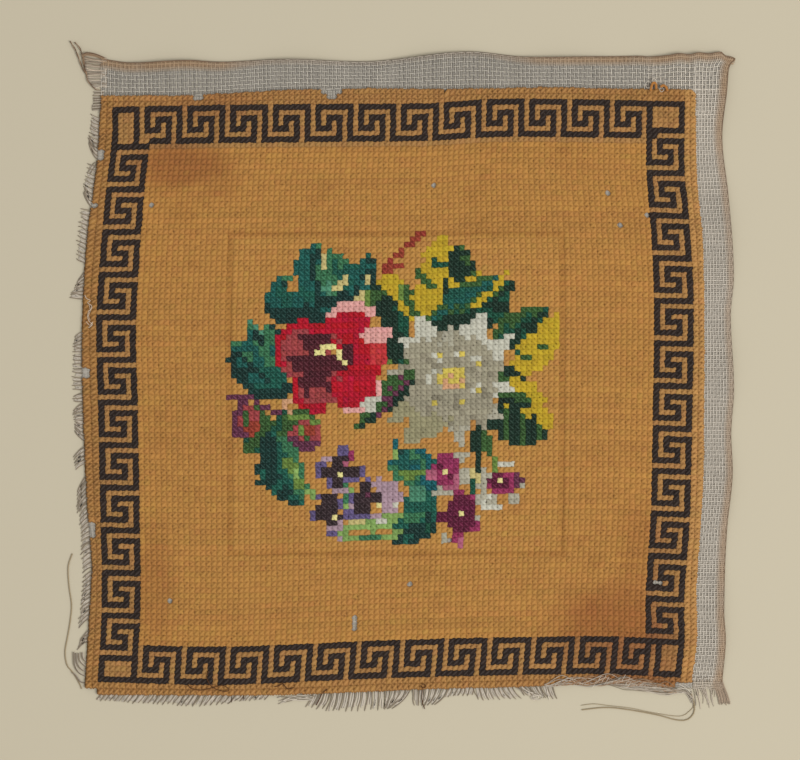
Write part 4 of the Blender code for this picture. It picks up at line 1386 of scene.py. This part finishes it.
def makeCanvas():
    ground = canvasUnderWool()
    linen = [linenFinishes["margin"], linenFinishes["marginGrey"]]
    margins = threadPiece("canvas_bare_margins", marginThreads(), linen, "linen_canvas")
    patches = threadPiece("canvas_lost_stitches", barePatches(), linen, "linen_canvas")
    edge = turnedEdge()
    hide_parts("canvas")
    print("canvas woven")
    return ground, [margins, patches, edge]


canvasSheet, canvasPieces = makeCanvas()


# The finishes of frayed threads; a thread's kind is its place here, from 0.
frayedKinds = ("fringe", "fringeDark", "pale", "brownWool", "rusty", "woolEnd")
fringes = {
    "wide": 0.25,
    "ball": (66.9, -145.8),  # where a few ends are curled up together
    # each tuft: from and to along the edge, where its first and its last thread end, how it bends,
    # and how far apart its dark threads are
    "left": (
        (129.6, 117.6, (-4.3, 2.2), (-4.9, 2.6), 0.25, 1.8),
        (117.2, 110.1, (-4.9, 4.2), (-4.0, 7.4), 0.02, 1.7),
        (107.2, 96.0, (-4.4, 0.8), (-4.8, 2.6), 0.2, 2.2),
        (95.6, 87.7, (-4.7, 3.2), (-3.5, 6.4), 0.05, 1.8),
        (85.4, 60.0, (-4.6, 1.4), (-4.4, 3.0), 0.45, 2.4),
        (57.7, 43.6, (-3.4, -5.2), (-6.9, 0.9), 0.35, 1.9),
        (28.8, 20.5, (-3.9, -3.4), (-4.4, -1.0), 0.3, 2.2),
        (20.2, 0.4, (-4.6, 0.8), (-4.8, 0.4), 0.15, 2.0),
        (-1.0, -5.4, (-4.6, -1.8), (-4.8, 0.6), 0.1, 2.0),
        (-5.8, -24.6, (-4.9, -3.6), (-4.4, 5.4), 0.2, 2.2),
        (-26.4, -34.4, (-5.2, -4.8), (-4.8, -3.2), 0.15, 1.9),
        (-39.6, -51.4, (-4.2, -8.6), (-4.9, -6.6), 0.3, 2.0),
        (-53.0, -71.4, (-3.7, -4.4), (-4.4, -2.6), 0.1, 2.2),
        (-72.0, -83.6, (-4.7, -3.8), (-4.6, -3.2), 0.1, 2.2),
        (-85.3, -108.2, (-4.4, -3.8), (-5.2, -4.6), 0.25, 2.0),
        (-113.9, -118.8, (-4.5, -5.2), (-5.4, -4.8), 0.15, 1.7),
    ),
    "hanging": (  # curls at the foot of the left edge, each from its tip to its root
        ((-149.4, -124.6), (-149.0, -127.4), (-146.6, -129.8)),
        ((-150.9, -125.0), (-150.4, -128.6), (-146.8, -132.0)),
        ((-152.3, -124.9), (-151.8, -129.6), (-149.6, -132.7), (-146.9, -133.9)),
        ((-153.3, -124.4), (-152.9, -130.6), (-150.7, -134.3), (-147.0, -136.2)),
        ((-154.1, -134.2), (-152.6, -135.2), (-150.3, -138.4), (-147.2, -139.4)),
    ),
    "bottom": (
        (-139.6, -121.4, (-2.9, -2.8), (-3.6, -4.0), 0.5, 2.2),
        (-121.0, -92.6, (-3.7, -4.2), (-4.2, -5.2), 0.5, 2.4),
        (-92.0, -75.2, (-4.4, -5.6), (-4.4, -4.4), 0.5, 2.6),
        (-74.8, -58.4, (-4.0, -3.4), (-3.8, -2.6), 0.4, 2.4),
        (-38.6, -30.6, (-3.9, -6.4), (-3.6, -7.6), 0.3, 2.6),
        (-30.0, -5.0, (-2.8, -9.0), (-0.2, -8.8), 0.15, 2.9),
        (-4.6, 7.6, (-0.7, -8.8), (-8.8, -9.0), 0.15, 2.6),
        (8.2, 25.4, (1.2, -8.0), (-6.8, -8.6), 0.1, 2.7),
        (26.0, 37.6, (-2.6, -4.4), (-0.8, -3.8), 0.4, 1.8),
        (37.8, 55.6, (1.6, -6.0), (4.6, -6.0), 0.1, 2.3),
        (56.2, 74.6, (5.4, -4.2), (2.4, -6.6), 0.2, 2.6),
    ),
}


# A thread that leaves root square to the edge, if bend is small, and lies down towards tip.
def bentThread(root, tip, bend, height=0.62, **look):
    root, tip = np.array(root, float), np.array(tip, float)
    run = tip - root
    out = int(abs(run[0]) < abs(run[1])) if look.pop("upright", False) else 0
    middle = root + run * 0.55
    middle[1 - out] = root[1 - out] + run[1 - out] * bend
    s = np.linspace(0, 1, 9)[:, None]
    flat = (1 - s) ** 2 * root + 2 * s * (1 - s) * middle + s**2 * tip
    flat = flat + np.sin(s * math.pi * rng.uniform(1.2, 2.4)) * rng.normal(0, 0.16, 2)
    z = height - (height - 0.28) * np.clip(s * 2.2, 0, 1)
    return {"path": np.concatenate([flat, z], axis=1), "taper": 0.5, **look}


# The threads of each tuft: a dark one to every stitch, with two pale ones under and beside it.
def tuftThreads(tufts, rootAt, upright):
    threads = []
    for start, end, firstTip, lastTip, bend, pitch in tufts:
        count = max(2, round(abs(end - start) / pitch)) * 3 + 1
        for order, part in enumerate(np.linspace(0, 1, count)):
            root = rootAt(start + (end - start) * part + rng.normal(0, 0.12))
            dark = order % 3 == 0
            reach = rng.uniform(0.96, 1.1) if dark else rng.uniform(0.72, 1.0)
            tip = [root[k] + (firstTip[k] + (lastTip[k] - firstTip[k]) * part) * reach for k in (0, 1)]
            root = (root[0], root[1] + 0.8) if upright else (root[0] + 0.8, root[1])
            threads.append(bentThread(
                root, tip, bend, 0.85 if dark else 0.36, upright=upright,
                wide=fringes["wide"] * (1.25 if dark else 2.1), thick=0.26 if dark else 0.07,
                kind=1 if dark else 0, tone=rng.normal(0.6, 0.9) if dark else rng.normal(-0.9, 0.5),
                brown=0.2 * rng.random()))
    return threads


def leftFringe():
    threads = tuftThreads(fringes["left"],
                          lambda y: (float(along(cloth["woolLeft"], y)) - 0.1, y), False)
    threads.append(bentThread((-141.2, 110.4), (-145.4, 102.6), 0.5, wide=0.26, kind=1, tone=-1.0))
    threads.append(bentThread((-142.6, 108.8), (-146.4, 104.4), 0.3, wide=0.24, kind=1, tone=0.0))
    for route in fringes["hanging"]:
        x, y = curveThrough(route, 16).T
        for beside, z, wide, thick, kind in ((0.0, 0.8, 0.27, 0.26, 1), (0.6, 0.4, 0.3, 0.08, 0)):
            threads.append(thread(x + beside, y, z, wide, rng.normal(0.2, 0.8), thick=thick, kind=kind,
                                  brown=0.15))
    return threads


def bottomFringe():
    threads = tuftThreads(fringes["bottom"],
                          lambda x: (x, float(along(cloth["woolBottom"], x)) + 0.1), True)
    for order in range(11):  # a few lie along the edge, tangled
        x = np.linspace(-38 - 2 * rng.random(), -57 + 5 * rng.random(), 16)
        s = np.linspace(0, 1, 16)
        y = along(cloth["woolBottom"], x) - 0.6 - 0.22 * order
        y = y - s**3 * rng.uniform(-0.5, 3.2) + 0.35 * np.sin(x / 2.4 + order)
        threads.append(thread(x, y, 0.45 + 0.25 * np.sin(x + order), 0.24, rng.normal(0.4, 1.2),
                              taper=0.5, kind=order % 2))
    for order in range(4):  # a small ball of ends
        s = np.linspace(0, 1, 22)
        turn = s * rng.uniform(7, 11) + order
        x = fringes["ball"][0] + (0.8 + 0.9 * s) * np.cos(turn) + 2.6 * (s - 0.5) * (order - 1.5)
        y = fringes["ball"][1] + (0.7 + 0.8 * s) * np.sin(turn)
        threads.append(thread(x, y, 0.6 + 0.35 * np.sin(turn * 1.3), 0.17, rng.normal(0.8, 0.8)))
    s = np.linspace(0, 1, 9)
    for order in range(6):  # and the ones that cross on their way to it
        x = 56.5 + 3.1 * order + (9 - 1.5 * order) * s
        y = along(cloth["woolBottom"], x) + 0.4 - (3.0 + 0.9 * order) * s - np.sin(s * math.pi)
        threads.append(thread(x, y, 0.8 - 0.3 * s, 0.24, rng.normal(0, 1.0), taper=0.5,
                              kind=(order + 1) % 2))
    return threads


frays = {
    "cornerRoot": -136.4,
    "selvedgeFrom": 151.2,
    "topEdge": ((-149.4, 160.6), (-148.6, 160.4), (-146.5, 161.0), (-142.8, 160.4), (-138.5, 158.7)),
    "boundEdge": ((-148.6, 160.4), (-147.0, 150.6), (-146.5, 148.0), (-144.4, 145.2), (-142.2, 143.4),
                  (-140.4, 143.4)),
    "outerEnd": ((-154.8, 166.6), (-152.4, 162.6), (-150.8, 158.8), (-149.0, 154.0), (-147.0, 150.6)),
    "innerEnd": ((-152.6, 166.0), (-150.3, 163.4), (-149.0, 159.8), (-148.4, 156.0), (-147.0, 150.6)),
    "cornerTips": (  # for a thread at this x, the x and y of its tip
        (141.5, 142.6, -149.0), (147.6, 149.6, -149.6), (151.5, 154.6, -149.4), (156.4, 159.6, -149.0)),
}


# Level threads whose uprights have gone, drawn together into a bound end.
def topLeftFray():
    threads = []
    boundX, boundY = np.array(frays["boundEdge"])[::-1].T
    topEdge = frays["topEdge"]
    s = np.linspace(0, 1, 9)
    for order, y in enumerate(np.linspace(144.6, 158.4, 30)):
        rise = (y - 144.6) / 13.8
        endY = 144.2 + 16.2 * rise**1.1
        x = -137.4 + (float(np.interp(endY, boundY, boundX)) + 137.4) * s
        ys = y + (endY - y) * s**1.3 + rng.normal(0, 0.35) * np.sin(s * math.pi)
        ys = np.minimum(ys, along(topEdge, x) - 0.2)
        z = 0.5 + 0.2 * np.sin(s * 5 + y) + lift(x, ys)
        threads.append(thread(x, ys, z, 0.22 + 0.05 * (order % 2),
                              rng.normal(-0.2, 1.0) + (2.4, -2.8)[order % 2],
                              brown=0.3 + 0.45 * rise**2, kind=int(order % 9 == 4)))
    x, y = curveThrough(topEdge, 16).T
    z = 0.8 + lift(x, y)
    for drop in (0.0, 0.55, 1.1):
        threads.append(thread(x, y - drop, z, 0.32, -1.0, brown=1.0, kind=int(drop == 0)))
    s = np.linspace(0, 1, 6)
    for order, y in enumerate(np.arange(134.0, 142.8, 0.62)):
        x = float(along(cloth["woolLeft"], y)) + 0.8 - s * rng.uniform(4.6, 5.4)
        threads.append(thread(x, y - 0.3 * s + rng.normal(0, 0.1), 0.55 - 0.2 * s, 0.26,
                              rng.normal(-0.8, 1.0), brown=0.3, kind=order % 2))
    spin = np.linspace(0, 14, 26)
    for key in ("boundEdge", "outerEnd", "innerEnd"):
        x, y = curveThrough(frays[key], 26).T
        for side in (-0.16, 0.16):  # two plies, one lighter than the other
            turn = side * np.cos(spin)
            threads.append(thread(x + turn, y + 0.3 * turn, 0.85 + side * np.sin(spin), 0.24,
                                  -1.2 + 6 * side, brown=1.0, taper=0.5, kind=int(side < 0)))
    return threads


# The upright threads of the right margin, loose below the last level one.
def bottomRightFray():
    threads = []
    tipFor, tipsX, tipsY = np.array(frays["cornerTips"]).T
    root = frays["cornerRoot"]
    s = np.linspace(0, 1, 11)
    ease = s * s * (3 - 2 * s)
    for order, x in enumerate(np.arange(141.4, 157.0, 0.58)):
        selvedge = x > frays["selvedgeFrom"]
        stray = (0.15, 0.4, 0.12) if selvedge else (0.9, 1.5, 0.7)  # of the tip across and down, and curl
        tipX = float(np.interp(x, tipFor, tipsX)) + rng.normal(0, stray[0])
        tipY = float(np.interp(x, tipFor, tipsY)) + rng.normal(0, stray[1])
        curl = rng.normal(0, stray[2]) * np.sin(s * math.pi * rng.uniform(1, 2.2))
        if not selvedge and order % 2 and order > 2:
            tipY += 4.5
        edge = min(x, float(along(cloth["canvasRight"], -138.0)) - 0.3)
        threads.append(thread(edge + (tipX - edge) * ease + curl, root + (tipY - root) * s,
                              0.7 - 0.4 * s + 0.1 * (order % 2), 0.22 if selvedge else 0.21,
                              rng.normal(0.3, 1.2) - 2.4 * (order % 2), brown=0.7 if selvedge else 0.3,
                              taper=0.5, kind=int(order % 6 == 5 and not selvedge)))
    for order in range(10):  # a second layer keeps the outermost ones together
        x = 151.6 + order * 0.46 + (3.4 + rng.normal(0, 0.2)) * ease
        y = root + 0.2 - (12.6 + rng.normal(0, 0.5)) * s
        threads.append(thread(x, y, 0.42 - 0.1 * s, 0.27, rng.normal(-0.4, 0.9), brown=0.75, taper=0.5))
    for order in range(5):  # level threads left lying across them
        x = np.linspace(141.6, 156.4 - 2.4 * rng.random(), 22)
        y = root - 2.5 - 0.75 * order + 0.12 * np.sin(x + order)
        threads.append(thread(x, y, 0.8 + 0.16 * np.sin(x * 4.6 + order), 0.22, rng.normal(0.6, 0.8),
                              brown=0.15 + 0.5 * (x > 151)))
    return threads


bundle = {
    "edgeRoute": ((72.6, -140.4), (90, -139.6), (104, -139.8), (112, -140.2), (124, -141.8),
                  (134, -143.4)),
    "lowRoute": ((100, -139.6), (108, -140.2), (116.8, -141.2), (128.7, -142.8), (138.2, -143.4),
                 (141.8, -146.4)),
    "shortEnds": ((98.0, -135.6), (100.4, -135.0), (101.8, -136.0), (107.2, -136.0), (109.6, -135.0),
                  (111.6, -136.4), (112.6, -137.6), (95.6, -138.4)),
    "overWool": ((100, -139.0), (107, -138.0), (112, -137.8), (118, -138.6), (126, -140.2),
                 (132, -141.6)),
}


# Drawn threads lying in a loose tangle along the bottom edge.
def ravelledBundle():
    threads = []
    mixed = (0, 4, 1, 0, 4, 4)  # kinds, the rusty one most often

    def add(route, start, end, spread, swing, tone, kind, wave):
        x = np.linspace(start, end, max(14, int((end - start) / 0.9)))
        near = np.clip((141.6 - x) / 12, 0.25, 1) * np.clip((x - start + 2) / 10, 0.3, 1)
        turn = x / wave * 2 * math.pi + rng.uniform(0, 6.3)
        y = along(bundle[route], x) + (spread + swing * np.sin(turn) + 0.12 * np.sin(turn * 2.3)) * near
        z = 0.45 + 0.5 * rng.random() + 0.3 * np.cos(turn)
        over = np.clip((y - along(cloth["woolBottom"], x) + 0.6) / 1.2, 0, 1)
        z = z * (1 - over) + over * (2.5 + 0.12 * np.cos(turn))
        threads.append(thread(x, y, z, 0.13 + 0.07 * rng.random(), tone,
                              brown=0.4 * rng.random() * (kind == 0), taper=0.4, kind=kind))

    for order in range(22):
        start = 71 + 26 * rng.random() * (order % 3 > 0)
        add("edgeRoute", start, min(134, start + rng.uniform(26, 54)), rng.normal(1.2, 1.1),
            rng.uniform(0.8, 2.3), rng.normal(-0.7, 1.6), mixed[order % 6], rng.uniform(17, 30))
    for order in range(22):
        add("lowRoute", 100 + 10 * rng.random(), 141.8, -1.9 + 0.17 * order,
            rng.uniform(0.1, 0.35), rng.normal(-0.4, 1.7), (0, 1, 0, 0)[order % 4], rng.uniform(18, 30))
    for order in range(4):
        add("overWool", 101 + 2 * order, 132, 0.35 * order - 0.5, 0.2,
            rng.normal(-0.4, 0.8), (0, 4)[order % 2], 24)
    s = np.linspace(0, 1, 6)
    for x, y in bundle["shortEnds"]:
        threads.append(thread(x + 2.2 * (s - 1), y - 3.6 * (1 - s), 2.62 - 0.2 * (2 * s - 1) ** 2,
                              0.13, 0.4))
    s = np.linspace(0, 1, 8)
    for order in range(7):  # a wisp where the edge turns down
        x = 134.5 + 6.5 * s + rng.normal(0, 0.4)
        y = -139.6 - 2.2 * s**2 - 0.35 * order + 0.5 * np.sin(4 * s + order)
        threads.append(thread(x, y, 2.4 - 0.9 * s, 0.15))
    for order in range(6):  # the ends turn down into the loose thread
        x = 136.5 + (4.6 + 0.35 * order) * s
        y = -143.6 + 0.5 * order * (1 - s) - 5.2 * s**2.6
        threads.append(thread(x, y, 0.9 - 0.5 * s, 0.16, rng.normal(-0.6, 0.8), taper=0.4,
                              kind=order % 2))
    return threads


strays = {  # loose ends on the stitches and the margins: kind, width, points
    "routes": (
        (2, 0.15, ((-147.6, 45.6), (-146.8, 44.0), (-144.9, 42.9), (-146.3, 41.9), (-144.4, 40.5),
                (-144.6, 38.8), (-145.8, 37.8), (-146.2, 35.1), (-145.4, 32.9), (-144.0, 31.6),
                (-145.8, 30.0))),
        (2, 0.13, ((-147.0, 33.0), (-145.2, 31.2), (-143.8, 32.8))),
        (2, 0.13, ((-145.6, 41.0), (-145.0, 38.4), (-145.8, 35.6), (-145.0, 33.6))),
        (5, 0.8, ((121.4, 142.8), (121.8, 144.4), (122.6, 146.4), (123.9, 146.0), (124.1, 143.6))),
        (5, 0.8, ((126.2, 144.6), (127.6, 145.2), (129.0, 144.2), (129.4, 142.4))),
        (0, 0.14, ((118.9, 145.6), (120.0, 147.0), (121.6, 146.4), (121.4, 144.6), (119.8, 144.2),
                (118.9, 145.6))),
        (0, 0.14, ((125.6, 143.6), (126.8, 144.4), (127.8, 143.2), (126.6, 142.2), (125.6, 143.6))),
        (0, 0.18, ((122.4, 147.6), (123.2, 148.8), (124.2, 147.4))),
        (3, 0.19, ((-98.4, -139.9), (-97.0, -141.4), (-92.6, -142.3), (-86.7, -141.2), (-83.0, -140.1),
                (-80.5, -140.7), (-79.0, -142.4), (-81.6, -142.9), (-85.2, -141.8), (-87.5, -140.3),
                (-89.3, -137.4), (-89.6, -135.2), (-88.6, -133.3))),
        (3, 0.22, ((-57.4, -140.7), (-55.5, -140.3), (-53.7, -139.2))),
        (3, 0.22, ((-53.7, -138.6), (-52.6, -140.3), (-50.8, -141.8), (-48.2, -141.0))),
        (3, 0.24, ((-32.5, -141.8), (-34.6, -143.9), (-36.1, -146.9), (-37.6, -149.7))),
        (3, 0.2, ((12.6, -139.4), (14.1, -139.7), (14.5, -140.8), (13.0, -141.2), (12.3, -140.1),
                (13.0, -141.4), (12.8, -145.3), (13.0, -148.2), (14.1, -151.5))),
    ),
    "blackEnds": ((-77.7, -144.6), (-72.1, -143.6)),
}


def strayThreads():
    threads = []
    for kind, wide, route in strays["routes"]:
        x, y = curveThrough(route, 6 * len(route)).T
        onWool = y > along(cloth["woolBottom"], x) + 0.4
        z = np.where(onWool, 2.6, 0.9) + 0.15 * np.sin(np.arange(len(x)) * 0.6)
        threads.append(thread(x, y, z, wide * (1.25 if kind == 3 else 1.0),
                              rng.normal(0, 0.8) - (1.6 if kind == 3 else 0), kind=kind))
    s = np.linspace(0, 1, 5)
    for x, y in strays["blackEnds"]:
        threads.append(thread(x - 0.3 * s, y - 4.0 * s, 0.9 - 0.5 * s, 0.2, -5.0, kind=3, taper=0.5))
    return threads


def makeFringes():
    kinds = [linenFinishes[name] for name in frayedKinds]
    made = []
    for node, name, threads in (
        ("fringe_left", "fringe_left_threads", leftFringe),
        ("fringe_bottom", "fringe_bottom_threads", bottomFringe),
        ("frayed_top_left", "frayed_corner_top", topLeftFray),
        ("frayed_bottom_right", "frayed_corner_bottom", bottomRightFray),
        ("ravelled_bundle", "ravelled_threads", ravelledBundle),
        (None, "stray_threads", strayThreads),
    ):
        made.append(threadPiece(name, threads(), kinds))
        if node:
            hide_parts(node)
    print("fringes and frayed corners laid")
    return made


fringePieces = makeFringes()

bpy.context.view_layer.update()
triangles = sum(len(piece.data.polygons) * 2 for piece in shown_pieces() if piece.type == "MESH")
print("triangles:", triangles)
